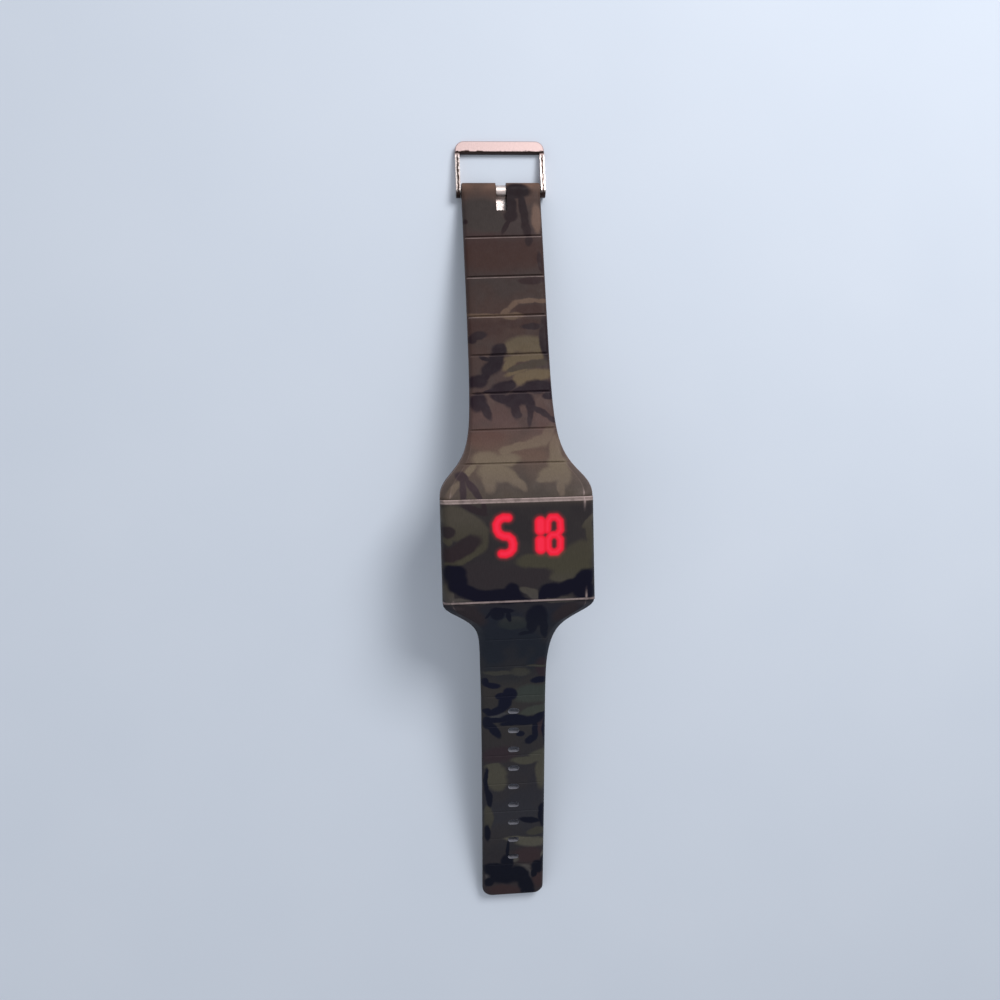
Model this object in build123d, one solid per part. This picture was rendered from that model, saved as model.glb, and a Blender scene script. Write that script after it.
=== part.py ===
from build123d import *
from dataclasses import dataclass
from math import asin, atan2, cos, degrees, hypot, radians, sin
import os

# Touch-operated LED wristwatch on a one-piece silicone band, laid face up as a shallow arch.
# All sizes are millimetres. Every piece is modelled in the watch head's own frame:
# origin in the middle of the face's outer surface, +X across the band, +Y towards the buckle,
# +Z out of the face. The finished watch is then moved so that it stands on the origin.

# Watch head
HEAD_WIDTH = 42.0
FACE_LENGTH = 28.5
FACE_SIDE_FALL = 2.7
FACE_SIDE_DEPTH = 3.2
END_CHAMFER = 1.0
CAP_DEPTH = 4.4
FACE_THICKNESS = 1.4
SKIRT_WIDTH = 37.0
SKIRT_LENGTH = 25.0
SKIRT_DEPTH = 8.1
SKIRT_WALL = 1.0
SEAM = 0.1

# Back of the head
BAND_RIM_TOP = 4.5
BAND_RIM_FOOT = 8.6
WINDOW_SLACK = 0.1
COVER_WIDTH = 39.4
COVER_LENGTH = 27.0
COVER_THICKNESS = 1.2
COVER_CORNER = 3.5
GASKET_WIDTH = 1.3
SCREW_X = 15.9
SCREW_Y = 9.9
BOSS_RADIUS = 1.55
SCREW_RADIUS = 0.6
SCREW_HOLE_RADIUS = 0.75
SCREW_HEAD_RADIUS = 1.3
SCREW_HEAD_HEIGHT = 0.7
SCREW_REACH = 3.4
CROSS_WIDTH = 0.35
CROSS_LENGTH = 1.6
CROSS_DEPTH = 0.4

# Electronics, as depths below the face
BOARD_WIDTH = 34.4
BOARD_LENGTH = 22.4
CORNER_NOTCH = 3.5
FILTER_TOP = 1.45
FILTER_THICKNESS = 0.3
MASK_TOP = 1.8
MASK_THICKNESS = 1.7
BOARD_TOP = 3.55
BOARD_THICKNESS = 0.8
CARRIER_TOP = 4.4
CARRIER_FOOT = 8.05
CELL_RADIUS = 10.0
CELL_HEIGHT = 2.5
CELL_TOP = 5.35
CELL_CAP_INSET = 1.6
POCKET_SLACK = 0.2
FILM_SIDE = 13.6
TOUCH_WIDTH = 12.8
TOUCH_LENGTH = 3.8
TOUCH_Y = -7.2
CHIP_X = 9.6
CHIP_RADIUS = 3.0
CHIP_HEIGHT = 1.2
LED_LENGTH = 1.6
LED_WIDTH = 0.8
CRYSTAL_X = 14.3
CRYSTAL_RADIUS = 0.75
CRYSTAL_LENGTH = 6.0
RESISTOR_X = -13.6
RESISTOR_PITCH = 2.8
LEAF_THICKNESS = 0.25
CLIP_THICKNESS = 0.3

# Time display: four seven-segment digits, set towards the buckle
DIGIT_WIDTH = 5.9
DIGIT_HEIGHT = 12.0
DIGIT_Y = 4.8
DIGIT_X = (-9.5, -3.3, 4.7, 10.6)
SEGMENT_WIDTH = 1.2
SEGMENT_GAP = 0.35
SEGMENTS_OF = {"1": "bc", "5": "acdfg", "8": "abcdefg", " ": ""}
SHOWN = " 518"

# Band
STRAP_THICKNESS = 3.2
SHOULDER_THICKNESS = 7.4
EDGE_BEVEL = 0.8
SHOULDER_FADE = 24.0
GROOVE_WIDTH = 0.45
GROOVE_DEPTH = 0.4
SLOT_COUNT = 9
SLOT_PITCH = 6.25
FIRST_SLOT = 36.9
SLOT_WIDTH = 3.3
SLOT_HEIGHT = 1.7
TAIL_CORNER = 2.8
SECTION_COUNT = 15
SECTION_SPREAD = 1.6

# Buckle
PIN_EYE_RADIUS = 2.4
EYE_FOOT = 2.25
EYE_SWELL = 2.6
BARREL_RADIUS = 0.9
BARREL_BORE = 0.65
BARREL_LENGTH = 23.2
TIP_RADIUS = 0.45
TIP_REACH = 1.3
PISTON_RADIUS = 0.6
PISTON_LENGTH = 2.5
CRIMP_LENGTH = 0.6
RUNNING_SLACK = 0.05
FRAME_WIDTH = 26.4
FRAME_REACH = 14.7
FRAME_BAR = 3.4
FRAME_THICKNESS = 1.8
FRAME_CORNER = 2.7
ARM_THICKNESS = 1.3
LUG_RADIUS = 1.9
TONGUE_WIDTH = 2.8
TONGUE_LENGTH = 13.0
TONGUE_THICKNESS = 0.8
TONGUE_TURN = -183.0
NOTCH_WIDTH = 3.2
NOTCH_DEPTH = 6.3


@dataclass
class Strap:
    """One half of the band, followed along its top line from the head outwards."""

    side: int
    length: float
    start_slope: float
    steep_slope: float
    strap_slope: float
    end_slope: float
    steep_at: float
    strap_at: float
    half_width: float
    end_half_width: float
    flare_reach: float
    flare_power: float
    swells: bool

    def slope(self, s):
        """Fall of the top line in degrees at the distance s from the head."""
        if s < self.steep_at:
            return blend(self.start_slope, self.steep_slope, s / self.steep_at)
        if s < self.strap_at:
            share = (s - self.steep_at) / (self.strap_at - self.steep_at)
            return blend(self.steep_slope, self.strap_slope, share)
        share = (s - self.strap_at) / (self.length - self.strap_at)
        return blend(self.strap_slope, self.end_slope, share)

    def point(self, s, steps=80):
        """Y and Z of the top line at the distance s, summed along its slope."""
        y, z = FACE_LENGTH / 2 + SEAM, -END_CHAMFER
        for n in range(steps):
            fall = radians(self.slope((n + 0.5) * s / steps))
            y += s / steps * cos(fall)
            z -= s / steps * sin(fall)
        return self.side * y, z

    def half_width_at(self, s):
        width = self.half_width + (self.end_half_width - self.half_width) * s / self.length
        return width + (HEAD_WIDTH / 2 - width) / (1 + (s / self.flare_reach) ** self.flare_power)

    def swell_at(self, s):
        """Extra thickness where the band's end is rolled round the pin."""
        if not self.swells:
            return 0.0
        most = 2 * PIN_EYE_RADIUS - STRAP_THICKNESS - 0.2
        return blend(0, most, (s - self.length + EYE_SWELL) / EYE_SWELL)

    def thickness_at(self, s):
        return blend(SHOULDER_THICKNESS, STRAP_THICKNESS, s / SHOULDER_FADE)

    def stations(self):
        """Distances of the cross-sections, close together near the head and at the rolled end."""
        places = [self.length * (n / SECTION_COUNT) ** SECTION_SPREAD for n in range(SECTION_COUNT + 1)]
        if self.swells:
            places = [s for s in places if s < self.length - EYE_SWELL]
            places += [self.length - EYE_SWELL * n / 3 for n in range(3, -1, -1)]
        return places

    def normal_plane(self, s):
        """Plane on the top surface at s: X across the band, Z out of the surface."""
        y, z = self.point(s)
        fall = radians(self.slope(s))
        return Plane(origin=(0, y, z), x_dir=(1, 0, 0), z_dir=(0, self.side * sin(fall), cos(fall)))


def blend(a, b, t):
    """Smooth step from a to b while t goes from 0 to 1."""
    t = min(max(t, 0.0), 1.0)
    return a + (b - a) * t * t * (3 - 2 * t)


BUCKLE_SIDE = Strap(side=1, length=93.4, start_slope=14, steep_slope=29, strap_slope=13.6, end_slope=16.01,
                    steep_at=8, strap_at=34, half_width=11.1, end_half_width=11.65, flare_reach=9.6,
                    flare_power=2.6, swells=True)
TAIL_SIDE = Strap(side=-1, length=101.6, start_slope=16, steep_slope=33, strap_slope=11, end_slope=15.4,
                  steep_at=8, strap_at=32, half_width=9.7, end_half_width=9.9, flare_reach=5.4,
                  flare_power=2.4, swells=False)
BUCKLE_GROOVES = [10.2 * (n + 1) + 0.2 * n * n for n in range(7)]
TAIL_GROOVES = [12.9 + 9.6 * n for n in range(9)]


def pin_centre():
    """Y and Z of the buckle pin's axis."""
    y, z = BUCKLE_SIDE.point(BUCKLE_SIDE.length)
    return y, z - STRAP_THICKNESS / 2 / cos(radians(BUCKLE_SIDE.end_slope))


def frame_fall():
    """Angle by which the buckle frame drops below level until its bar rests on the table."""
    half = FRAME_THICKNESS / 2
    return degrees(asin(EYE_FOOT / hypot(FRAME_REACH, half)) - atan2(half, FRAME_REACH))


def block(width, length, top, foot, y=0.0, x=0.0):
    """Box given by its plan size and by the depths of its top and foot below the face."""
    return Pos(x, y, -(top + foot) / 2) * Box(width, length, foot - top)


def upright(radius, top, foot, x=0.0, y=0.0):
    """Cylinder along Z given by the depths of its ends below the face."""
    return Pos(x, y, -(top + foot) / 2) * Cylinder(radius, foot - top)


def along_x(radius, length, x=0.0):
    """Cylinder along X, centred on x."""
    return Pos(x, 0, 0) * Rot(0, 90, 0) * Cylinder(radius, length)


def rounded_slab(width, length, top, foot, corner):
    outline = RectangleRounded(width, length, corner)
    return Pos(0, 0, -foot) * extrude(outline, foot - top)


def screw_places():
    return [(x, y) for x in (-SCREW_X, SCREW_X) for y in (-SCREW_Y, SCREW_Y)]


def section_outline(half_width, top, bottom, side_fall, side_drop):
    """Eight-sided cross-section in the XZ plane, with bevelled long edges."""
    right = [(half_width - side_fall, top), (half_width, top - side_drop),
             (half_width, bottom + EDGE_BEVEL), (half_width - EDGE_BEVEL, bottom)]
    left = [(-x, z) for x, z in reversed(right)]
    return make_face(Polyline(*right, *left, close=True))


def strap_section(strap, s):
    y, z = strap.point(s)
    swell = strap.swell_at(s) / 2
    depth = strap.thickness_at(s) / cos(radians(strap.slope(s)))
    fall = blend(FACE_SIDE_FALL, EDGE_BEVEL, s / SHOULDER_FADE)
    drop = blend(FACE_SIDE_DEPTH - END_CHAMFER, EDGE_BEVEL, s / SHOULDER_FADE)
    outline = section_outline(strap.half_width_at(s), z + swell, z - depth - swell, fall, drop)
    return Plane(origin=(0, y, 0), x_dir=(1, 0, 0), z_dir=(0, -1, 0)) * outline


def strap_body(strap):
    return loft([strap_section(strap, s) for s in strap.stations()], ruled=True)


def strap_grooves(strap, places):
    cutters = []
    for s in places:
        cutters.append(strap.normal_plane(s) * Box(HEAD_WIDTH, GROOVE_WIDTH, 2 * GROOVE_DEPTH))
    return cutters


def adjusting_slots():
    slot = extrude(SlotOverall(SLOT_WIDTH, SLOT_HEIGHT), 4 * STRAP_THICKNESS, both=True)
    return [TAIL_SIDE.normal_plane(FIRST_SLOT + n * SLOT_PITCH) * slot for n in range(SLOT_COUNT)]


def tail_corners():
    """What rounds the two corners of the tail's end in plan."""
    y, z = TAIL_SIDE.point(TAIL_SIDE.length)
    cutters = []
    for side in (-1, 1):
        edge = side * TAIL_SIDE.end_half_width
        corner = Pos(edge, y, z) * Box(2 * TAIL_CORNER, 2 * TAIL_CORNER, 4 * STRAP_THICKNESS)
        middle = Pos(edge - side * TAIL_CORNER, y + TAIL_CORNER, z)
        cutters.append(corner - middle * Cylinder(TAIL_CORNER, 4 * STRAP_THICKNESS))
    return cutters


def eye_flat():
    """What gives the rolled end the narrow flat foot that it stands on."""
    y, z = pin_centre()
    size = 2 * PIN_EYE_RADIUS
    return Pos(0, y, z - EYE_FOOT - size / 2) * Box(HEAD_WIDTH, 2 * size, size)


def rim():
    """The band's ring round the head's skirt."""
    length = FACE_LENGTH + 2 * SEAM
    half = HEAD_WIDTH / 2
    outline = Polyline((half, -BAND_RIM_TOP), (half, -BAND_RIM_FOOT + EDGE_BEVEL),
                       (half - EDGE_BEVEL, -BAND_RIM_FOOT), (-half + EDGE_BEVEL, -BAND_RIM_FOOT),
                       (-half, -BAND_RIM_FOOT + EDGE_BEVEL), (-half, -BAND_RIM_TOP), close=True)
    return extrude(Plane.XZ * make_face(outline), length / 2, both=True)


def silicone_band():
    y, z = pin_centre()
    half = BUCKLE_SIDE.end_half_width
    band = rim() + strap_body(BUCKLE_SIDE) + strap_body(TAIL_SIDE)
    band += Pos(0, y, z) * along_x(PIN_EYE_RADIUS, 2 * half)
    room = 2 * WINDOW_SLACK
    window = block(SKIRT_WIDTH + room, SKIRT_LENGTH + room, 0, 2 * BAND_RIM_FOOT)
    cutters = [window, Pos(0, y, z) * along_x(BARREL_RADIUS + RUNNING_SLACK, 4 * half)]
    cutters.append(Pos(0, y, z) * Box(NOTCH_WIDTH, 2 * NOTCH_DEPTH, 4 * PIN_EYE_RADIUS))
    cutters += strap_grooves(BUCKLE_SIDE, BUCKLE_GROOVES) + strap_grooves(TAIL_SIDE, TAIL_GROOVES)
    return band - (cutters + adjusting_slots() + tail_corners() + [eye_flat()])


def face_cap():
    """Printed face: rounded sides, chamfered ends, a skirt into the band and four screw bosses."""
    half = HEAD_WIDTH / 2
    flat = half - FACE_SIDE_FALL
    bulge = (half - 0.28 * FACE_SIDE_FALL, -0.4 * FACE_SIDE_DEPTH)
    side = ThreePointArc((flat, 0), bulge, (half, -FACE_SIDE_DEPTH))
    wall = Polyline((half, -FACE_SIDE_DEPTH), (half, -CAP_DEPTH), (0, -CAP_DEPTH), (0, 0), (flat, 0))
    across = extrude(Plane.XZ * make_face(side + wall), FACE_LENGTH / 2, both=True)
    across += mirror(across, about=Plane.YZ)
    end = FACE_LENGTH / 2
    profile = Polyline((-end, -CAP_DEPTH), (-end, -END_CHAMFER), (-end + END_CHAMFER, 0),
                       (end - END_CHAMFER, 0), (end, -END_CHAMFER), (end, -CAP_DEPTH), close=True)
    cap = across & extrude(Plane.YZ * make_face(profile), HEAD_WIDTH, both=True)
    cap += block(SKIRT_WIDTH, SKIRT_LENGTH, FACE_THICKNESS, SKIRT_DEPTH)
    walls = 2 * SKIRT_WALL
    cap -= block(SKIRT_WIDTH - walls, SKIRT_LENGTH - walls, FACE_THICKNESS, 2 * SKIRT_DEPTH)
    for x, y in screw_places():
        cap += upright(BOSS_RADIUS, FACE_THICKNESS - 0.2, SKIRT_DEPTH, x, y)
    for x, y in screw_places():
        cap -= upright(SCREW_RADIUS, SKIRT_DEPTH - SCREW_REACH, 2 * SKIRT_DEPTH, x, y)
    return cap


def notched(width, length, top, foot):
    """Flat piece inside the skirt, with its corners cut back round the screw bosses."""
    slab = block(width, length, top, foot)
    for x in (-1, 1):
        for y in (-1, 1):
            middle = {"x": x * width / 2, "y": y * length / 2}
            slab -= block(2 * CORNER_NOTCH, 2 * CORNER_NOTCH, top - 1, foot + 1, **middle)
    return slab


def segment_bar(length, top, foot, slack=0.0):
    """One segment of a digit along X, pointed at both ends."""
    half = SEGMENT_WIDTH / 2 + slack
    reach = length / 2 + slack
    outline = Polyline((-reach, 0), (-reach + half, half), (reach - half, half), (reach, 0),
                       (reach - half, -half), (-reach + half, -half), close=True)
    return Pos(0, 0, -foot) * extrude(make_face(outline), foot - top)


def segment_places(x):
    """Name, place, turn and length of each segment of the digit centred on x."""
    wide = DIGIT_WIDTH - SEGMENT_WIDTH
    tall = (DIGIT_HEIGHT - SEGMENT_WIDTH) / 2
    flat, upright_bar = wide - SEGMENT_GAP, tall - SEGMENT_GAP
    places = [("a", x, DIGIT_Y + tall, 0, flat), ("g", x, DIGIT_Y, 0, flat),
              ("d", x, DIGIT_Y - tall, 0, flat)]
    for name, across, up in (("f", -1, 1), ("b", 1, 1), ("e", -1, -1), ("c", 1, -1)):
        places.append((name, x + across * wide / 2, DIGIT_Y + up * tall / 2, 90, upright_bar))
    return places


def segments(top, foot, lit=None, slack=0.0):
    """The display's bars as separate solids: all of them, or only the lit or the unlit ones."""
    bars = []
    for x, shown in zip(DIGIT_X, SHOWN):
        for name, px, py, turn, length in segment_places(x):
            if lit is None or lit == (name in SEGMENTS_OF[shown]):
                bars.append(Pos(px, py, 0) * Rot(0, 0, turn) * segment_bar(length, top, foot, slack))
    return bars


def light_filter():
    return notched(BOARD_WIDTH, BOARD_LENGTH, FILTER_TOP, FILTER_TOP + FILTER_THICKNESS)


def digit_mask():
    """Light-tight block with a window for each bar, the touch plate and the chip."""
    foot = MASK_TOP + MASK_THICKNESS
    mask = notched(BOARD_WIDTH, BOARD_LENGTH, MASK_TOP, foot)
    mask -= block(TOUCH_WIDTH + 0.4, TOUCH_LENGTH + 0.4, 0, foot + 1, y=TOUCH_Y)
    mask -= upright(CHIP_RADIUS + 0.2, MASK_TOP + 0.3, foot + 1, x=CHIP_X, y=TOUCH_Y)
    return mask - segments(MASK_TOP - 1, foot + 1, slack=0.05)


def lit_segments():
    return Compound(children=segments(MASK_TOP, MASK_TOP + 1.2, lit=True))


def unlit_segments():
    return Compound(children=segments(MASK_TOP, MASK_TOP + 1.2, lit=False))


def led_chips():
    chips = []
    for x in DIGIT_X:
        for _, px, py, turn, _ in segment_places(x):
            chip = block(LED_LENGTH, LED_WIDTH, MASK_TOP + 1.25, BOARD_TOP)
            chips.append(Pos(px, py, 0) * Rot(0, 0, turn) * chip)
    return Compound(children=chips)


def touch_plate():
    """Sensing plate behind the face, with a foot down to the board."""
    plate = block(TOUCH_WIDTH, TOUCH_LENGTH, MASK_TOP, MASK_TOP + 0.3, y=TOUCH_Y)
    foot_x = 0.8 - TOUCH_WIDTH / 2
    return plate + block(0.8, TOUCH_LENGTH - 0.8, MASK_TOP, BOARD_TOP, y=TOUCH_Y, x=foot_x)


def circuit_board():
    board = notched(BOARD_WIDTH, BOARD_LENGTH, BOARD_TOP, BOARD_TOP + BOARD_THICKNESS)
    return board - upright(0.5, 0, 2 * CARRIER_FOOT, y=1.0 - BOARD_LENGTH / 2)


def control_chip():
    """Chip under a low drop of black resin on the board's upper side."""
    drop = Cone(CHIP_RADIUS, CHIP_RADIUS - CHIP_HEIGHT, CHIP_HEIGHT)
    return Pos(CHIP_X, TOUCH_Y, CHIP_HEIGHT / 2 - BOARD_TOP) * drop


def crystal():
    """Tuning-fork crystal in its round can, lying beside the cell."""
    middle = BOARD_TOP + BOARD_THICKNESS + CRYSTAL_RADIUS + 0.05
    can = Rot(90, 0, 0) * Cylinder(CRYSTAL_RADIUS, CRYSTAL_LENGTH)
    for x in (-0.35, 0.35):
        can += Pos(x, CRYSTAL_LENGTH / 2 + 1.0, 0) * Box(0.25, 2.2, 0.25)
    return Pos(CRYSTAL_X, -0.5, -middle) * can


def resistors():
    top = BOARD_TOP + BOARD_THICKNESS
    rows = [RESISTOR_PITCH * (n - 1.5) for n in range(4)]
    return Compound(children=[block(0.9, 1.7, top, top + 0.5, y=y, x=RESISTOR_X) for y in rows])


def module_frame():
    """Carrier under the board: a round pocket for the cell and side bays for small parts."""
    frame = notched(BOARD_WIDTH, BOARD_LENGTH, CARRIER_TOP, CARRIER_FOOT)
    frame -= upright(CELL_RADIUS + POCKET_SLACK, CARRIER_TOP - 1, CARRIER_FOOT + 1)
    for x in (-14.0, 14.0):
        frame -= block(4.0, 11.6, CARRIER_TOP - 1, CARRIER_FOOT - 1.0, x=x)
    return frame - block(5.0, 2.6, CARRIER_TOP - 1, CARRIER_FOOT + 1, y=BOARD_LENGTH / 2 - 1.0)


def coin_cell():
    """Lithium coin cell: wide positive can below, narrower negative cap above."""
    can = upright(CELL_RADIUS, CELL_TOP + 0.5, CELL_TOP + CELL_HEIGHT)
    return can + upright(CELL_RADIUS - CELL_CAP_INSET, CELL_TOP, CELL_TOP + 0.6)


def battery_minus_contact():
    """Spring leaf on the board that presses on the cell's cap."""
    low = BOARD_TOP + BOARD_THICKNESS
    root, tip = -low - LEAF_THICKNESS, -CELL_TOP + LEAF_THICKNESS
    leaf = Polyline((-5.0, -low), (-2.0, -low), (4.0, tip), (5.0, tip), (5.0, -CELL_TOP),
                    (3.8, -CELL_TOP), (-2.2, root), (-5.0, root), close=True)
    return extrude(Plane.XZ * make_face(leaf), 1.5, both=True)


def battery_plus_contact():
    """Clip at the cell's rim, with a foot soldered under the board."""
    low = BOARD_TOP + BOARD_THICKNESS
    rim_y = CELL_RADIUS + 0.02
    clip = block(4.0, CLIP_THICKNESS, low, CELL_TOP + 2.2, y=rim_y + CLIP_THICKNESS / 2)
    return clip + block(4.0, 1.0, low, low + CLIP_THICKNESS, y=rim_y + 0.5)


def battery_insulator():
    """Square of film between the cell and the cover."""
    foot = CELL_TOP + CELL_HEIGHT
    return block(FILM_SIDE, FILM_SIDE, foot, foot + 0.15)


def back_gasket():
    """Flat ring on the skirt's rim, outside the screws."""
    inner = block(SKIRT_WIDTH - 2 * GASKET_WIDTH, SKIRT_LENGTH - 2 * GASKET_WIDTH, 0, 2 * BAND_RIM_FOOT)
    return block(SKIRT_WIDTH, SKIRT_LENGTH, SKIRT_DEPTH, BAND_RIM_FOOT) - inner


def back_cover():
    foot = BAND_RIM_FOOT + COVER_THICKNESS
    cover = rounded_slab(COVER_WIDTH, COVER_LENGTH, BAND_RIM_FOOT, foot, COVER_CORNER)
    cover = chamfer(cover.faces().sort_by(Axis.Z)[0].edges(), 0.4)
    for x, y in screw_places():
        cover -= upright(SCREW_HOLE_RADIUS, 0, 2 * foot, x, y)
        cover -= upright(SCREW_HEAD_RADIUS + 0.1, foot - SCREW_HEAD_HEIGHT, foot + 1, x, y)
    return cover


def back_screws():
    """Four pan-head screws with a cross recess, sunk in the cover."""
    foot = BAND_RIM_FOOT + COVER_THICKNESS
    head_top = foot - SCREW_HEAD_HEIGHT
    screws = []
    for x, y in screw_places():
        screw = upright(SCREW_HEAD_RADIUS, head_top, foot - 0.05, x, y)
        screw += upright(SCREW_RADIUS, SKIRT_DEPTH - SCREW_REACH + 0.3, head_top, x, y)
        screw -= block(CROSS_WIDTH, CROSS_LENGTH, foot - CROSS_DEPTH, foot, y=y, x=x)
        screws.append(screw - block(CROSS_LENGTH, CROSS_WIDTH, foot - CROSS_DEPTH, foot, y=y, x=x))
    return Compound(children=screws)


def arm(side):
    """One arm of the buckle frame: a round lug on the pin that runs out to the bar."""
    half = FRAME_THICKNESS / 2
    lug = along_x(LUG_RADIUS, ARM_THICKNESS)
    blade = Polyline((0, LUG_RADIUS), (0, -LUG_RADIUS), (FRAME_REACH - FRAME_BAR, -half),
                     (FRAME_REACH - FRAME_BAR, half), close=True)
    lug += extrude(Plane.YZ * make_face(blade), ARM_THICKNESS / 2, both=True)
    return Pos(side * (FRAME_WIDTH - ARM_THICKNESS) / 2, 0, 0) * lug


def buckle_frame():
    y, z = pin_centre()
    bar = Pos(0, FRAME_REACH - FRAME_BAR / 2, 0) * Box(FRAME_WIDTH, FRAME_BAR, FRAME_THICKNESS)
    outer = bar.edges().filter_by(Axis.Z).sort_by(Axis.Y)[-2:]
    bar = fillet(outer, FRAME_CORNER)
    bar = chamfer(bar.faces().sort_by(Axis.Z)[-1].edges(), 0.3)
    frame = bar + arm(-1) + arm(1)
    frame -= along_x(TIP_RADIUS + RUNNING_SLACK, 2 * FRAME_WIDTH)
    return Pos(0, y, z) * Rot(-frame_fall(), 0, 0) * frame


def buckle_tongue():
    """Rolled eye with a flat blade that reaches past the frame's bar, folded back under the strap."""
    y, z = pin_centre()
    eye = BARREL_RADIUS + RUNNING_SLACK
    outer = eye + TONGUE_THICKNESS
    blade = Box(TONGUE_WIDTH, TONGUE_LENGTH, TONGUE_THICKNESS)
    blade = Pos(0, TONGUE_LENGTH / 2, outer - TONGUE_THICKNESS / 2) * blade
    tip = blade.edges().filter_by(Axis.Z).sort_by(Axis.Y)[-2:]
    tongue = fillet(tip, 0.9) + along_x(outer, TONGUE_WIDTH)
    tongue -= along_x(eye, 2 * TONGUE_WIDTH)
    return Pos(0, y, z) * Rot(TONGUE_TURN, 0, 0) * tongue


def spring_bar_barrel():
    y, z = pin_centre()
    barrel = along_x(BARREL_RADIUS, BARREL_LENGTH)
    barrel -= along_x(BARREL_BORE, BARREL_LENGTH - 2 * CRIMP_LENGTH)
    return Pos(0, y, z) * (barrel - along_x(TIP_RADIUS + RUNNING_SLACK, 2 * BARREL_LENGTH))


def spring_bar_tip(side):
    """Sprung pin end: a collar inside the barrel and a thin tip out into the frame's arm."""
    y, z = pin_centre()
    inside = BARREL_LENGTH / 2 - CRIMP_LENGTH - RUNNING_SLACK
    outside = BARREL_LENGTH / 2 + TIP_REACH
    collar = along_x(PISTON_RADIUS, PISTON_LENGTH, inside - PISTON_LENGTH / 2)
    tip = along_x(TIP_RADIUS, outside - inside + 0.1, (outside + inside - 0.1) / 2)
    pin = Pos(0, y, z) * (collar + tip)
    return pin if side > 0 else mirror(pin, about=Plane.YZ)


def spring_bar_spring():
    """Room that the coil spring fills between the two collars."""
    y, z = pin_centre()
    length = BARREL_LENGTH - 2 * (CRIMP_LENGTH + RUNNING_SLACK + PISTON_LENGTH + 0.05)
    return Pos(0, y, z) * (along_x(PISTON_RADIUS, length) - along_x(PISTON_RADIUS - 0.2, 2 * length))


def pieces():
    """Every piece by its node's name, in the head's frame."""
    return {
        "silicone_band": silicone_band(), "face_cap": face_cap(), "light_filter": light_filter(),
        "digit_mask": digit_mask(), "lit_segments": lit_segments(), "unlit_segments": unlit_segments(),
        "led_chips": led_chips(), "touch_plate": touch_plate(), "circuit_board": circuit_board(),
        "control_chip": control_chip(), "crystal": crystal(), "resistors": resistors(),
        "module_frame": module_frame(), "coin_cell": coin_cell(),
        "battery_minus_contact": battery_minus_contact(), "battery_plus_contact": battery_plus_contact(),
        "battery_insulator": battery_insulator(), "back_gasket": back_gasket(), "back_cover": back_cover(),
        "back_screws": back_screws(), "buckle_frame": buckle_frame(), "buckle_tongue": buckle_tongue(),
        "spring_bar_barrel": spring_bar_barrel(), "spring_bar_tip_left": spring_bar_tip(-1),
        "spring_bar_tip_right": spring_bar_tip(1), "spring_bar_spring": spring_bar_spring(),
    }


def main():
    made = pieces()
    boxes = [piece.bounding_box() for piece in made.values()]
    low_y, high_y = min(b.min.Y for b in boxes), max(b.max.Y for b in boxes)
    foot = min(b.min.Z for b in boxes)
    stand = Pos(0, round(-(low_y + high_y) / 2, 3), -foot)
    os.makedirs("parts", exist_ok=True)
    for name, piece in made.items():
        export_step(stand * piece, f"parts/{name}.step")
    y, z = pin_centre()
    tail = made["silicone_band"].bounding_box().min
    print(f"stands at y {stand.position.Y:.3f} z {stand.position.Z:.3f}, length {high_y - low_y:.2f}")
    print(f"pin axis y {y + stand.position.Y:.3f} z {z + stand.position.Z:.3f}")
    back = -BAND_RIM_FOOT - COVER_THICKNESS + stand.position.Z
    print(f"back face z {back:.3f}, frame fall {frame_fall():.3f}")
    tail_y, tail_z = TAIL_SIDE.point(TAIL_SIDE.length)
    tail_z -= STRAP_THICKNESS / cos(radians(TAIL_SIDE.end_slope))
    print(f"lowest band {tail.Z:.3f}, tail foot {tail_z:.3f}, all {foot:.3f}")
    print(f"pin foot {z - EYE_FOOT:.3f}")


if __name__ == "__main__":
    main()
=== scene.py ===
from bisect import bisect
from dataclasses import dataclass
from functools import reduce
from math import cos, pi, radians, sin, sqrt

import bmesh
import bpy
from mathutils import Matrix, Vector


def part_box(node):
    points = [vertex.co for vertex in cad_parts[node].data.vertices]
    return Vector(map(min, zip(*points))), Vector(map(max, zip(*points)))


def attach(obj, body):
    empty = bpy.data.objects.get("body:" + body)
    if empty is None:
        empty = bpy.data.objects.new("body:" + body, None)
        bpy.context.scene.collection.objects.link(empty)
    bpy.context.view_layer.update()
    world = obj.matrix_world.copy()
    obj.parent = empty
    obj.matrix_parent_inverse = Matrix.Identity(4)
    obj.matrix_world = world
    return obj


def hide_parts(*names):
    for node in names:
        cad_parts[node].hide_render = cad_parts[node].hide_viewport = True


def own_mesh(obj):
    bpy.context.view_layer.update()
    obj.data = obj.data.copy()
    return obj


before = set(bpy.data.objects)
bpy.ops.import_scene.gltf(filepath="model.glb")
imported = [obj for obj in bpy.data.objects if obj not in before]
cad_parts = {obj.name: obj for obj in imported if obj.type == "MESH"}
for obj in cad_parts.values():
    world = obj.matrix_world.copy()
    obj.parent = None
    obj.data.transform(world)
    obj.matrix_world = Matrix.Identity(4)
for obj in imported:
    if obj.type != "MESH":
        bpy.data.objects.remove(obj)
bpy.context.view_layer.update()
for plain_finish in list(bpy.data.materials):
    bpy.data.materials.remove(plain_finish)

# The watch head's own frame: millimetres from the middle of the face's outer surface,
# +X across the band, +Y towards the buckle, +Z out of the face.
MM = 0.001
face_low, face_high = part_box("face_cap")
HEAD = Vector(((face_low.x + face_high.x) / 2, (face_low.y + face_high.y) / 2, face_high.z))
HEAD_WIDTH = (face_high.x - face_low.x) / MM
FACE_LENGTH = (face_high.y - face_low.y) / MM

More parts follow.
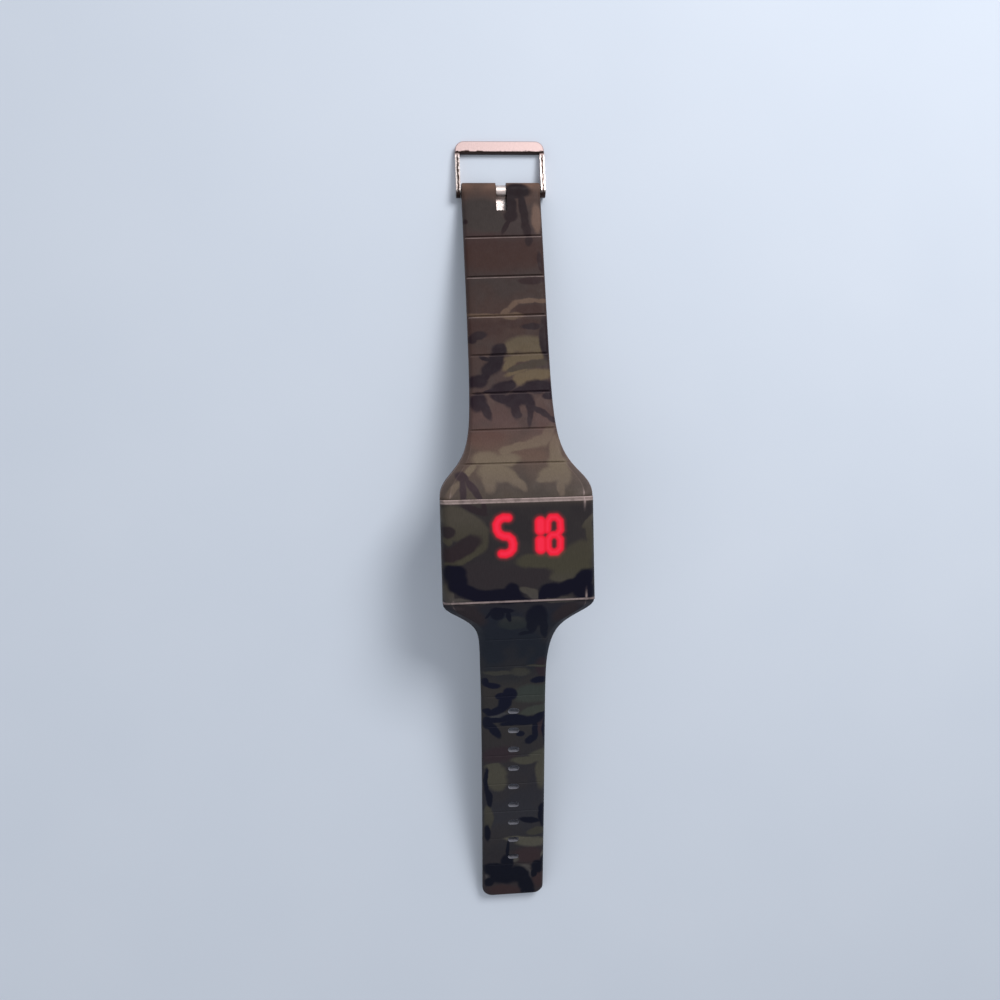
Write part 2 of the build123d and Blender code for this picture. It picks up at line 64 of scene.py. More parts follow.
# Watch head
FACE_SIDE_FALL = 2.7
FACE_SIDE_DEPTH = 3.2
FACE_SIDE_POWER = 1.9
END_CHAMFER = 1.0
CAP_DEPTH = 4.4
FACE_THICKNESS = 1.4
SKIRT_WIDTH = 37.0
SKIRT_LENGTH = 25.0
SKIRT_DEPTH = 8.1
SKIRT_WALL = 1.0
SEAM = 0.1
WINDOW_SLACK = 0.1
BAND_RIM_TOP = 4.5
BAND_RIM_FOOT = 8.6
BOSS_RADIUS = 1.55
SCREW_RADIUS = 0.6
BORE_DEPTH = 3.4
SCREW_X = 15.9
SCREW_Y = 9.9
BOSS_SIDES = 24
BORE_SIDES = 16
SKIRT_OVERLAP = 0.5
BOSS_OVERLAP = 0.2
RIM_INSET = 0.3
RIM_RISE = 0.25
FINE_SIDE = FACE_SIDE_FALL + 0.6
FINE_END = END_CHAMFER + 0.5
SIDE_STEPS = 20
END_STEPS = 16
MIDDLE_STEPS = 14
CORNER_DROP = 0.12
CORNER_BLEND = 0.3

# Band
STRAP_THICKNESS = 3.2
SHOULDER_THICKNESS = 7.4
EDGE_BEVEL = 0.8
EDGE_ROUNDING = 0.35
BEVEL_SHARE = 0.35
SHOULDER_FADE = 24.0
STATION_STEP = 0.9
TABLE_LENGTH = 104
# Cross lines, the sections round each and the lips beside it
FIRST_LINK = 10.2
LINK_GROWTH = 0.2
BUCKLE_GROOVES = 7
FIRST_TAIL_GROOVE = 12.9
TAIL_LINK = 9.6
TAIL_GROOVES = 9
GROOVE_DEPTH = 0.4
TAIL_GROOVE_DEPTH = 0.12
GROOVE_FLOOR = 0.1
GROOVE_WALL = 0.2
GROOVE_STEPS = (-0.62, -0.48, -0.36, -0.24, -0.12, 0.0, 0.12, 0.24, 0.36, 0.62)
GROOVE_CLEAR = 0.75
LIP_HEIGHT = 0.04
LIP_AT = 0.36
LIP_REACH = 0.2
# Slant of the buckle side's cross lines
GROOVE_SKEW = 0.02
SKEW_START = 8.0
SKEW_RISE = 20.0
SKEW_END = 12.0
SKEW_FALL = 8.0
# Adjusting slots
SLOT_COUNT = 9
SLOT_PITCH = 6.25
FIRST_SLOT = 36.9
SLOT_WIDTH = 3.3
SLOT_HEIGHT = 1.7
# Tail's round corners and bend
TAIL_CORNER = 2.8
TAIL_CORNER_STEPS = 14
CORNER_GAP = 0.1
TIP_GAP = 0.004
TAIL_DRIFT = 1.15
TAIL_LEAN = 0.12
# End with the pin
PIN_EYE_RADIUS = 2.4
EYE_SWELL = 2.6
EYE_STEP = 0.2
EYE_FOOT = 2.25
PIN_BORE_RADIUS = 0.95
NOTCH_WIDTH = 3.2
NOTCH_DEPTH = 6.3

# How far cutters reach, well past what they cut
CUT = 20.0

# Print: where the face's middle lies along the print's own millimetres, and how far its colour ramps go
PRINT_MIDDLE = -3.1
PRINT_REACH = 120.0

# Camera, from the photo's viewing angle: place in millimetres, turn in degrees
CAMERA_AT = (-25.49, 27.86, 273.13)
CAMERA_TURN = (-3.95, -4.98, -1.36)
CAMERA_LENS = 32.4


def blend(a, b, t):
    """Smooth step from a to b while t goes from 0 to 1."""
    t = min(max(t, 0.0), 1.0)
    return a + (b - a) * t * t * (3 - 2 * t)


def fading(s, start, reach):
    """1 up to the start, then smoothly down to 0 over the reach."""
    return blend(1, 0, (s - start) / reach)


def arc_drop(past, radius):
    """How far a rounded edge has drawn in at a distance past its start."""
    return radius - sqrt(max(radius ** 2 - past ** 2, 0.0)) if past > 0 else 0.0


def nearness(distance, reach):
    """1 at no distance, straight down to 0 at the reach."""
    return max(0.0, 1 - abs(distance) / reach)


@dataclass
class Strap:
    """One half of the band, followed along its top line from the head outwards.

    Slopes are degrees below level: at the head, at steep_at, at strap_at and at the end. The half that
    swells is rolled round the pin.
    """

    side: int
    length: float
    start_slope: float
    steep_slope: float
    strap_slope: float
    end_slope: float
    steep_at: float
    strap_at: float
    half_width: float
    end_half_width: float
    flare_reach: float
    flare_power: float
    swells: bool
    grooves: tuple

    def slope(self, s):
        if s < self.steep_at:
            return blend(self.start_slope, self.steep_slope, s / self.steep_at)
        if s < self.strap_at:
            eased = (s - self.steep_at) / (self.strap_at - self.steep_at)
            return blend(self.steep_slope, self.strap_slope, eased)
        return blend(self.strap_slope, self.end_slope, (s - self.strap_at) / (self.length - self.strap_at))

    def point(self, s, steps=80):
        """Y and Z of the top line at the distance s from the head."""
        y, z = FACE_LENGTH / 2 + SEAM, -END_CHAMFER
        for n in range(steps):
            fall = radians(self.slope((n + 0.5) * s / steps))
            y += s / steps * cos(fall)
            z -= s / steps * sin(fall)
        return self.side * y, z

    def half_width_at(self, s):
        width = self.half_width + (self.end_half_width - self.half_width) * s / self.length
        width += (HEAD_WIDTH / 2 - width) / (1 + (s / self.flare_reach) ** self.flare_power)
        return width if self.swells else width - arc_drop(s - self.length + TAIL_CORNER, TAIL_CORNER)

    def swell_at(self, s):
        """Extra thickness where the band's end is rolled round the pin."""
        if not self.swells:
            return 0.0
        most = 2 * PIN_EYE_RADIUS - STRAP_THICKNESS - EYE_STEP
        return blend(0, most, (s - self.length + EYE_SWELL) / EYE_SWELL)

    def drift_at(self, s):
        """Sideways bend of the soft tail, most of it in the shoulder."""
        if self.swells:
            return 0.0
        return -TAIL_DRIFT * (blend(0, 1, s / SHOULDER_FADE) + TAIL_LEAN * s / self.length)

    def skew_at(self, s):
        """Slant of the buckle side's cross lines, fading out at both ends."""
        if not self.swells:
            return 0.0
        rising = blend(0, 1, (s - SKEW_START) / SKEW_RISE)
        return GROOVE_SKEW * rising * fading(s, self.length - SKEW_END, SKEW_FALL)

    def end_rounding(self, s):
        """How far the top and the underside draw in at the tail's end."""
        return 0.0 if self.swells else arc_drop(s - self.length + EDGE_BEVEL, EDGE_BEVEL)

    def thickness_at(self, s):
        return blend(SHOULDER_THICKNESS, STRAP_THICKNESS, s / SHOULDER_FADE)

    def groove_at(self, s):
        """Depth of the nearest cross groove at s, below zero on its slightly raised lips."""
        away = min(abs(s - groove) for groove in self.grooves)
        deepest = GROOVE_DEPTH if self.swells else TAIL_GROOVE_DEPTH
        channel = blend(deepest, 0, (away - GROOVE_FLOOR) / GROOVE_WALL)
        return channel - LIP_HEIGHT * nearness(away - LIP_AT, LIP_REACH)

    def stations(self):
        """Distances of the cross-sections, close together at grooves and at the tail's round corners."""
        count = round(self.length / STATION_STEP)
        places = [self.length * n / count for n in range(count + 1)]
        for groove in self.grooves:
            places = [s for s in places if abs(s - groove) > GROOVE_CLEAR]
            places += [groove + step for step in GROOVE_STEPS]
        if not self.swells:
            places = [s for s in places if s < self.length - TAIL_CORNER - CORNER_GAP]
            places += [self.length - TAIL_CORNER * (1 - sin(pi / 2 * n / TAIL_CORNER_STEPS))
                       for n in range(TAIL_CORNER_STEPS)]
            places.append(self.length - TIP_GAP)
        return sorted(places)

    def plane(self, s):
        """Matrix on the top surface at s: X across the band, Z out of the surface."""
        y, z = self.point(s)
        return Matrix.Translation((0, y, z)) @ Matrix.Rotation(-self.side * radians(self.slope(s)), 4, "X")


BUCKLE_SIDE = Strap(side=1, length=93.4, start_slope=14, steep_slope=29, strap_slope=13.6, end_slope=16.01,
                    steep_at=8, strap_at=34, half_width=11.1, end_half_width=11.65, flare_reach=9.6,
                    flare_power=2.6, swells=True,
                    grooves=tuple(FIRST_LINK * (n + 1) + LINK_GROWTH * n * n for n in range(BUCKLE_GROOVES)))
TAIL_SIDE = Strap(side=-1, length=101.6, start_slope=16, steep_slope=33, strap_slope=11, end_slope=15.4,
                  steep_at=8, strap_at=32, half_width=9.1, end_half_width=9.4, flare_reach=5.4,
                  flare_power=2.4, swells=False,
                  grooves=tuple(FIRST_TAIL_GROOVE + TAIL_LINK * n for n in range(TAIL_GROOVES)))
# For each half: distances along Y from the head, and along the top line, at each millimetre of it
PLACES = {strap.side: [(abs(strap.point(s)[0]) - FACE_LENGTH / 2 - SEAM, s) for s in range(TABLE_LENGTH)]
          for strap in (BUCKLE_SIDE, TAIL_SIDE)}
PIN = Vector((0, *BUCKLE_SIDE.point(BUCKLE_SIDE.length)))
PIN.z -= STRAP_THICKNESS / 2 / cos(radians(BUCKLE_SIDE.end_slope))

# Softened edges of the outer metal pieces
SOFT_EDGE = 0.12
SOFT_EDGE_ANGLE = 35

# Buckle, as far as its finish follows its shape
ARM_MIDDLE = 12.55
BAR_INNER = PIN.y + 11.3
LUG_TOP = PIN.y + 0.3
LUG_INNER = 11.0
TONGUE_HALF = 2.2
TONGUE_BACK = PIN.y - 2.5

# Spring in the pin: wire radius, turns of one half, and points round the wire and along one turn
SPRING_WIRE = 0.11
SPRING_TURNS = 14
WIRE_POINTS = 10
TURN_STEPS = 16

# Half width of the light line painted on an edge, partly abrasion and partly painted highlight
WEAR_AND_HIGHLIGHT_LINE = 0.4


# Mesh helpers. Shapes are made in the head's frame in millimetres and set in place at the end.
# Edges sharper than the angle stay sharp, and a rounding takes up at most the share of a side.
SHARP_ANGLE = 38
CORNER_SHARE = 0.4


def in_scene(name, data):
    """New object with the data, linked to the scene."""
    made = bpy.data.objects.new(name, data)
    bpy.context.scene.collection.objects.link(made)
    return made


def new_object(name, points, faces):
    mesh = bpy.data.meshes.new(name)
    mesh.from_pydata([tuple(p) for p in points], [], faces)
    return in_scene(name, mesh)


def combine(base, operation, tools):
    """Joins the tools to the base or cuts them from it, and removes them."""
    for tool in tools:
        modifier = base.modifiers.new("combine", "BOOLEAN")
        modifier.operation = operation
        modifier.solver = "EXACT"
        modifier.object = tool
    depsgraph = bpy.context.evaluated_depsgraph_get()
    made = bpy.data.meshes.new_from_object(base.evaluated_get(depsgraph))
    base.modifiers.clear()
    base.data = made
    for tool in tools:
        bpy.data.objects.remove(tool)
    return base


def set_wear_and_highlight(piece, wear_and_highlight_of):
    """Stores how light each point is painted, partly abrasion and partly painted highlight, from its place
    in the head's frame.
    """
    wear_and_highlight = [wear_and_highlight_of(vertex.co) for vertex in piece.data.vertices]
    piece.data.attributes.new("wear_and_highlight", "FLOAT", "POINT").data.foreach_set("value", wear_and_highlight)


def set_in_place(piece, materials, body, node):
    """Scales the piece to metres, puts it where its node is and gives it its finish."""
    piece.data.transform(Matrix.Translation(HEAD) @ Matrix.Scale(MM, 4))
    for material in materials:
        piece.data.materials.append(material)
    piece.data.shade_smooth()
    piece.data.set_sharp_from_angle(angle=radians(SHARP_ANGLE))
    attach(piece, body)
    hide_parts(node)


def ring_faces(rings, count):
    """Quads between closed rings of points, and a cap on each end."""
    faces = []
    for r in range(rings - 1):
        for n in range(count):
            after = (n + 1) % count
            faces.append((r * count + n, r * count + after, (r + 1) * count + after, (r + 1) * count + n))
    faces.append(tuple(range(count - 1, -1, -1)))
    faces.append(tuple(range((rings - 1) * count, rings * count)))
    return faces


def outward(piece):
    """Turns the faces so that they all look out of the closed shape."""
    sheet = bmesh.new()
    sheet.from_mesh(piece.data)
    bmesh.ops.recalc_face_normals(sheet, faces=sheet.faces)
    sheet.to_mesh(piece.data)
    sheet.free()
    return piece


def rounded_corner(at, before, after, reach):
    """Three points that round one corner of an outline."""
    at, before, after = Vector(at), Vector(before), Vector(after)
    start = at + (before - at).normalized() * min(reach, (before - at).length * CORNER_SHARE)
    end = at + (after - at).normalized() * min(reach, (after - at).length * CORNER_SHARE)
    return [start, (start + at * 2 + end) / 4, end]


def prism(name, outline, foot, top):
    """Upright prism on an outline of X and Y points."""
    points = [(x, y, z) for z in (foot, top) for x, y in outline]
    return outward(new_object(name, points, ring_faces(2, len(outline))))


def rectangle(width, length):
    half, reach = width / 2, length / 2
    return [(-half, -reach), (half, -reach), (half, reach), (-half, reach)]


def circle(radius, steps, x=0.0, y=0.0):
    angles = [2 * pi * n / steps for n in range(steps)]
    return [(x + radius * cos(angle), y + radius * sin(angle)) for angle in angles]


def stadium(width, height, steps=10):
    """Outline of a slot with round ends along X."""
    radius = height / 2
    reach = width / 2 - radius
    angles = [pi * n / steps for n in range(steps + 1)]
    right = [(reach + radius * sin(angle), -radius * cos(angle)) for angle in angles]
    return right + [(-x, -y) for x, y in right]


def bar_along_x(name, radius, length, centre, rounding=0.0, steps=40):
    """Round bar along X with rounded rims."""
    profile = [(-length / 2, radius - rounding)]
    if rounding:
        bulge = 0.3 * rounding
        profile += [(-length / 2 + bulge, radius - bulge), (-length / 2 + rounding, radius)]
    profile += [(-x, r) for x, r in reversed(profile)]
    points = [centre + Vector((x, *place)) for x, r in profile for place in circle(r, steps)]
    return outward(new_object(name, points, ring_faces(len(profile), steps)))


# Band

def section_corners(strap, s):
    """Corners of the band's eight-sided cross-section at s, from the upper right one round."""
    _, z = strap.point(s)
    half = strap.half_width_at(s)
    swell = strap.swell_at(s) / 2
    rounding = strap.end_rounding(s)
    top = z + swell - rounding
    foot = z - strap.thickness_at(s) / cos(radians(strap.slope(s))) - swell + rounding
    fall = blend(FACE_SIDE_FALL, EDGE_BEVEL, s / SHOULDER_FADE)
    most = (top - foot) * BEVEL_SHARE
    drop = min(blend(FACE_SIDE_DEPTH - END_CHAMFER, EDGE_BEVEL, s / SHOULDER_FADE), most)
    bevel = min(EDGE_BEVEL, most)
    corners = [(half - fall, top), (half, top - drop), (half, foot + bevel), (half - bevel, foot)]
    return corners + [(-x, height) for x, height in reversed(corners)]


# Points added on each side of the eight-cornered section
FILL = (0, 0, 0, 5, 0, 0, 0, 11)


def section_points(strap, s):
    """Points round the band's cross-section at s."""
    y, _ = strap.point(s)
    corners = section_corners(strap, s)
    points = []
    for n, at in enumerate(corners):
        after, beyond = corners[(n + 1) % 8], corners[(n + 2) % 8]
        rounded = rounded_corner(at, corners[n - 1], after, EDGE_ROUNDING)
        ahead = rounded_corner(after, at, beyond, EDGE_ROUNDING)[0]
        points += rounded
        points += [rounded[-1].lerp(ahead, step / (FILL[n] + 1)) for step in range(1, FILL[n] + 1)]
    highest = corners[0][1] - strap.groove_at(s)
    drift, skew = strap.drift_at(s), strap.skew_at(s)
    return [Vector((p.x + drift, y + skew * p.x, min(p.y, highest))) for p in points]


def strap_half(strap):
    places = strap.stations()
    points = [point for s in places for point in section_points(strap, s)]
    return outward(new_object("strap_half", points, ring_faces(len(places), len(points) // len(places))))


def band_wear_and_highlight(at):
    """Light on the buckle side's shoulder edges and on the lips of its cross lines, the lips lighter towards
    the buckle, and where the creases of both shoulders start at the head, more on the right: partly abrasion
    and partly painted highlight."""
    strap = BUCKLE_SIDE if at.y > 0 else TAIL_SIDE
    s = strap_distance(strap, at)
    if s <= 0:
        return 0.0
    inner, outer = section_corners(strap, s)[:2]
    place = Vector((abs(at.x - strap.drift_at(s)), at.z))
    on_inner = nearness((place - Vector(inner)).length, WEAR_AND_HIGHLIGHT_LINE)
    on_outer = nearness((place - Vector(outer)).length, WEAR_AND_HIGHLIGHT_LINE)
    if not strap.swells:
        return on_inner * blend(0.6, 0, s / 1.6)
    start = (0.7 if at.x > 0 else 0.3) * fading(s, 0.5, 2.2)
    crease = on_inner * (0.1 * fading(s, 10, 12) + start)
    edge = on_outer * 0.5 * blend(1, 0.15, (s - 8) / 14)
    if at.z < inner[1] - 0.25:
        return max(crease, edge)
    # Lips of the cross lines, lighter towards the buckle: partly painted highlight
    lip = max(nearness(s - groove + 0.42, 0.16) for groove in strap.grooves)
    return max(crease, edge, lip * blend(0.1, 0.55, (s - 38) / 22))


def strap_distance(strap, at):
    """Distance from the head along the strap's top line of a point on it."""
    along = strap.side * at.y - FACE_LENGTH / 2 - SEAM
    table = PLACES[strap.side]
    after = max(1, bisect(table, (along,)))
    if along <= 0:
        return 0.0
    if after == len(table):
        return strap.length
    (y_low, s_low), (y_high, s_high) = table[after - 1:after + 1]
    s = s_low + (s_high - s_low) * (along - y_low) / (y_high - y_low)
    return s - strap.skew_at(s) * at.x


def rim_ring():
    """The band's ring round the head's skirt, its lower outer edges rounded."""
    outer = rectangle(HEAD_WIDTH, FACE_LENGTH + 2 * SEAM)
    levels = [(0, -BAND_RIM_TOP), (0, -BAND_RIM_FOOT + EDGE_BEVEL), (RIM_INSET, -BAND_RIM_FOOT + RIM_RISE),
              (EDGE_BEVEL, -BAND_RIM_FOOT)]
    points = [(x * (1 - 2 * inset / HEAD_WIDTH), y, z) for inset, z in levels for x, y in outer]
    ring = outward(new_object("rim", points, ring_faces(len(levels), 4)))
    opening = rectangle(SKIRT_WIDTH + 2 * WINDOW_SLACK, SKIRT_LENGTH + 2 * WINDOW_SLACK)
    return combine(ring, "DIFFERENCE", [prism("window", opening, -CUT, CUT)])


def slot_cutter(n):
    cutter = prism("slot", stadium(SLOT_WIDTH, SLOT_HEIGHT), -CUT, CUT)
    cutter.data.transform(slot_plane(n))
    return cutter


def slot_plane(n):
    s = FIRST_SLOT + n * SLOT_PITCH
    return Matrix.Translation((TAIL_SIDE.drift_at(s), 0, 0)) @ TAIL_SIDE.plane(s)


def in_slot(polygon, planes, slack=0.05, upright=0.4):
    """Is this face one of the walls of an adjusting slot?"""
    for plane in planes:
        at = plane @ polygon.center
        if abs(at.x) < SLOT_WIDTH / 2 + slack and abs(at.y) < SLOT_HEIGHT / 2 + slack:
            return abs((plane.to_3x3() @ polygon.normal).z) < upright
    return False


def make_band(materials):
    band = combine(strap_half(BUCKLE_SIDE), "UNION", [
        strap_half(TAIL_SIDE), rim_ring(),
        bar_along_x("roll", PIN_EYE_RADIUS, 2 * BUCKLE_SIDE.end_half_width, PIN, rounding=0.5)])
    bore = bar_along_x("bore", PIN_BORE_RADIUS, 2 * CUT, PIN)
    notch = prism("notch", rectangle(NOTCH_WIDTH, 2 * NOTCH_DEPTH), -CUT, CUT)
    notch.data.transform(Matrix.Translation(PIN))
    flat = prism("flat", rectangle(2 * CUT, 4 * PIN_EYE_RADIUS), -CUT, -EYE_FOOT)
    flat.data.transform(Matrix.Translation(PIN))
    combine(band, "DIFFERENCE", [bore, notch, flat] + [slot_cutter(n) for n in range(SLOT_COUNT)])
    band.name = band.data.name = "camouflage_band"
    set_wear_and_highlight(band, band_wear_and_highlight)
    planes = [slot_plane(n).inverted() for n in range(SLOT_COUNT)]
    # Material of each face: 0 printed, 1 underside, which looks down, 2 slot wall
    kinds = [1 if face.normal.z < -0.5 else 2 * in_slot(face, planes) for face in band.data.polygons]
    set_in_place(band, materials, "head_and_band", "silicone_band")
    for polygon, kind in zip(band.data.polygons, kinds):
        polygon.material_index = kind


# Face

def side_drop(x):
    """How far the face's surface has fallen at the distance x from its middle line."""
    past = abs(x) - HEAD_WIDTH / 2 + FACE_SIDE_FALL
    if past <= 0:
        return 0.0
    turn = past / FACE_SIDE_FALL
    return FACE_SIDE_DEPTH * (1 - sqrt(max(1 - turn ** FACE_SIDE_POWER, 0.0)))


def spaced(half, band, fine, coarse, crowding=1.5):
    """Places from -half to half, finely spaced in the outer band at both ends."""
    outer = [half - band * (n / fine) ** crowding for n in range(fine + 1)]
    inner = [(half - band) * (1 - n / coarse) for n in range(1, coarse)]
    right = outer + inner
    return sorted([-v for v in right] + [0.0] + right)


def face_block():
    """The face's top as a fine sheet, closed down to the band's level."""
    across = spaced(HEAD_WIDTH / 2, FINE_SIDE, SIDE_STEPS, MIDDLE_STEPS)
    along = spaced(FACE_LENGTH / 2, FINE_END, END_STEPS, MIDDLE_STEPS)
    points = []
    for y in along:
        end = max(abs(y) - FACE_LENGTH / 2 + END_CHAMFER, 0.0)
        for x in across:
            side = side_drop(x)
            drop = max(side, end)
            if side > 0 and end > 0:
                drop += CORNER_DROP * nearness(side - end, CORNER_BLEND)
            points.append((x, y, -drop))
    count = len(points)
    points += [(x, y, -CAP_DEPTH) for x, y, _ in points]
    rows = [range(first, first + len(across)) for first in range(0, count, len(across))]
    faces = []
    for row, beyond in zip(rows, rows[1:]):
        for a, b, c, d in zip(row, row[1:], beyond[1:], beyond):
            faces += [(a, b, c, d), (a + count, d + count, c + count, b + count)]
    rim = [*rows[0], *(row[-1] for row in rows[1:]), *rows[-1][-2::-1], *(row[0] for row in rows[-2:0:-1])]
    faces += [(a, a + count, b + count, b) for a, b in zip(rim, rim[1:] + rim[:1])]
    return outward(new_object("face", points, faces))


def face_wear_and_highlight(at):
    """Light on the face's end edges, as two lines towards the buckle and one broad one towards the tail,
    and on the last millimetres of its side creases, more on the right: partly abrasion and partly painted
    highlight."""
    if at.z < -FACE_SIDE_DEPTH:
        return 0.0
    end = FACE_LENGTH / 2 - abs(at.y)
    flat = HEAD_WIDTH / 2 - FACE_SIDE_FALL
    strength, reach = (0.8, 3.4) if at.x > 0 else (0.45, 1.0)
    crease = nearness(abs(at.x) - flat + 0.1, WEAR_AND_HIGHLIGHT_LINE) * blend(strength, 0, (end - 0.5) / reach)
    if at.y > 0:
        outer_line = 0.9 * nearness(end - 0.08, 0.34)
        inner_line = 0.75 * nearness(end - END_CHAMFER + 0.12, 0.3)
        between = 0.4 * fading(end, END_CHAMFER - 0.2, 0.3)
        return max(crease, outer_line, inner_line, between)
    broad_line = (0.95 if abs(at.x) < flat + 0.4 else 0.45) * fading(abs(end - 0.42), 0.14, 0.3)
    return max(crease, broad_line)


def make_face(material):
    skirt = prism("skirt", rectangle(SKIRT_WIDTH, SKIRT_LENGTH), -SKIRT_DEPTH, -CAP_DEPTH + SKIRT_OVERLAP)
    face = combine(face_block(), "UNION", [skirt])
    inner = rectangle(SKIRT_WIDTH - 2 * SKIRT_WALL, SKIRT_LENGTH - 2 * SKIRT_WALL)
    combine(face, "DIFFERENCE", [prism("pocket", inner, -CUT, -FACE_THICKNESS)])
    places = [(x, y) for x in (-SCREW_X, SCREW_X) for y in (-SCREW_Y, SCREW_Y)]
    boss_top = -FACE_THICKNESS + BOSS_OVERLAP
    combine(face, "UNION", [prism("boss", circle(BOSS_RADIUS, BOSS_SIDES, *place), -SKIRT_DEPTH, boss_top)
                            for place in places])
    bore_top = -SKIRT_DEPTH + BORE_DEPTH
    combine(face, "DIFFERENCE", [prism("bore", circle(SCREW_RADIUS, BORE_SIDES, *place), -CUT, bore_top)
                                 for place in places])
    face.name = face.data.name = "printed_face"
    set_wear_and_highlight(face, face_wear_and_highlight)
    set_in_place(face, [material], "head_and_band", "face_cap")


# Pin

def coil_half(side, reach, radius):
    """Wire wound round the pin's middle line, from the middle outwards."""
    steps = TURN_STEPS * SPRING_TURNS
    points = []
    for n in range(steps + 1):
        turned = 2 * pi * n / TURN_STEPS
        out = Vector((0, cos(turned), sin(turned)))
        along = SPRING_WIRE + (reach - 2 * SPRING_WIRE) * n / steps
        middle = PIN + Vector((side * along, 0, 0)) + out * (radius - SPRING_WIRE)
        for away, beside in circle(SPRING_WIRE, WIRE_POINTS):
            points.append(middle + out * away + Vector((beside, 0, 0)))
    name = "spring_left" if side < 0 else "spring_right"
    return outward(new_object(name, points, ring_faces(steps + 1, WIRE_POINTS)))


def make_spring(material):
    """The pin's spring, as two coils wound from the middle outwards."""
    low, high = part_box("spring_bar_spring")
    reach, radius = (high.x - low.x) / 2 / MM, (high.z - low.z) / 2 / MM
    for side, joint in ((-1, "pin_end_left_press"), (1, "pin_end_right_press")):
        coil = coil_half(side, reach, radius)
        set_in_place(coil, [material], "head_and_band", "spring_bar_spring")
        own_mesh(coil)


# Materials

def rgb(*values):
    """Linear colour from the usual 0 to 255 values."""
    parts = [value / 255 for value in values]
    return (*(part / 12.92 if part <= 0.04045 else ((part + 0.055) / 1.055) ** 2.4 for part in parts), 1.0)


def darkened(colour, share):
    return (*(share * part for part in colour[:3]), 1.0)


class Tree:
    """Short calls for building one tree of shader nodes."""

    def __init__(self, tree):
        self.tree = tree

    def add(self, kind, inputs=None, **settings):
        node = self.tree.nodes.new("ShaderNode" + kind)
        for key, value in settings.items():
            setattr(node, key, value)
        self.feed(node, inputs or {})
        return node

    def feed(self, node, inputs):
        """Links or sets the node's inputs, apart from those that are None."""
        for key, value in inputs.items():
            if isinstance(value, bpy.types.NodeSocket):
                self.tree.links.new(value, node.inputs[key])
            elif value is not None:
                node.inputs[key].default_value = value

    def math(self, operation, a, b=None, c=None, clamp=False):
        return self.add("Math", {0: a, 1: b, 2: c}, operation=operation, use_clamp=clamp).outputs[0]

    def times(self, a, b):
        return self.math("MULTIPLY", a, b)

    def join(self, operation, values, softness=None):
        """The operation through all the values."""
        return reduce(lambda one, other: self.math(operation, one, other, softness), values)

    def vector(self, operation, a, b, output="Vector"):
        return self.add("VectorMath", {0: a, 1: b}, operation=operation).outputs[output]

    def scaled(self, at, amount):
        return self.add("VectorMath", {0: at, "Scale": amount}, operation="SCALE").outputs[0]

    def noise(self, at, scale, detail=2.0, roughness=0.5, output="Fac"):
        inputs = {"Vector": at, "Scale": scale, "Detail": detail, "Roughness": roughness}
        return self.add("TexNoise", inputs).outputs[output]

    def step(self, value, low, high, out_low=0.0, out_high=1.0):
        """Smooth step of the value between low and high."""
        inputs = {"Value": value, "From Min": low, "From Max": high, "To Min": out_low, "To Max": out_high}
        return self.add("MapRange", inputs, interpolation_type="SMOOTHSTEP").outputs[0]

    def mix(self, amount, first, second, blend_type="MIX"):
        inputs = {0: amount, 6: first, 7: second}
        return self.add("Mix", inputs, data_type="RGBA", blend_type=blend_type).outputs[2]

    def ramp(self, value, stops):
        node = self.add("ValToRGB", {"Fac": value})
        ramp = node.color_ramp
        ramp.elements[0].position, ramp.elements[0].color = stops[0]
        ramp.elements[1].position, ramp.elements[1].color = stops[-1]
        for position, colour in stops[1:-1]:
            ramp.elements.new(position).color = colour
        return node.outputs["Color"]

    def millimetres(self):
        return self.scaled(self.add("TexCoord").outputs["Object"], 1 / MM)

    def head_millimetres(self):
        """Place in the head's frame."""
        return self.vector("SUBTRACT", self.millimetres(), tuple(HEAD / MM))


class Finish(Tree):
    """Tree of a new material."""

    def __init__(self, name):
        self.material = bpy.data.materials.new(name)
        self.material.use_nodes = True
        super().__init__(self.material.node_tree)
        self.tree.nodes.clear()
        self.shader = self.add("BsdfPrincipled")
        self.add("OutputMaterial", {"Surface": self.shader.outputs[0]})

    def paint(self, inputs):
        self.feed(self.shader, inputs)

    def bump(self, height, strength, depth):
        raised = self.add("Bump", {"Height": height, "Strength": strength, "Distance": depth})
        self.paint({"Normal": raised.outputs[0]})


# Camouflage print. Each blotch is an ellipse in millimetres along the laid-out watch: x, y, half length,
# half width and, where it is turned, its turn in degrees. Blotches of one kind melt together.
BROWN = [
    (-3, 80.6, 11, 5.6), (6, 81, 6, 5), (6.4, 63.8, 4.4, 1.6), (-7.6, 27.4, 5.6, 2.8), (4.8, 22.4, 4.8, 1.7),
    (-7, 58.4, 6, 2.6), (3, 60, 8, 1.2), (-9.4, -9.8, 6.8, 4, -8), (-2.4, -9.4, 5, 2.6),
    (5, -9.8, 5, 2.2, 6), (2.4, -11.6, 3.4, 1.6), (7.1, -38.4, 2, 3), (6.8, -57.2, 1.8, 2.6),
    (-5.6, -65.4, 5.4, 2.6), (3.4, -100.2, 4.6, 3), (7, -108.8, 2, 3.2), (-4, -112.6, 5.4, 1.9),
    (-13.6, -20.4, 4.8, 2.2, -32), (12.6, -20.6, 4.4, 2, 32),
]
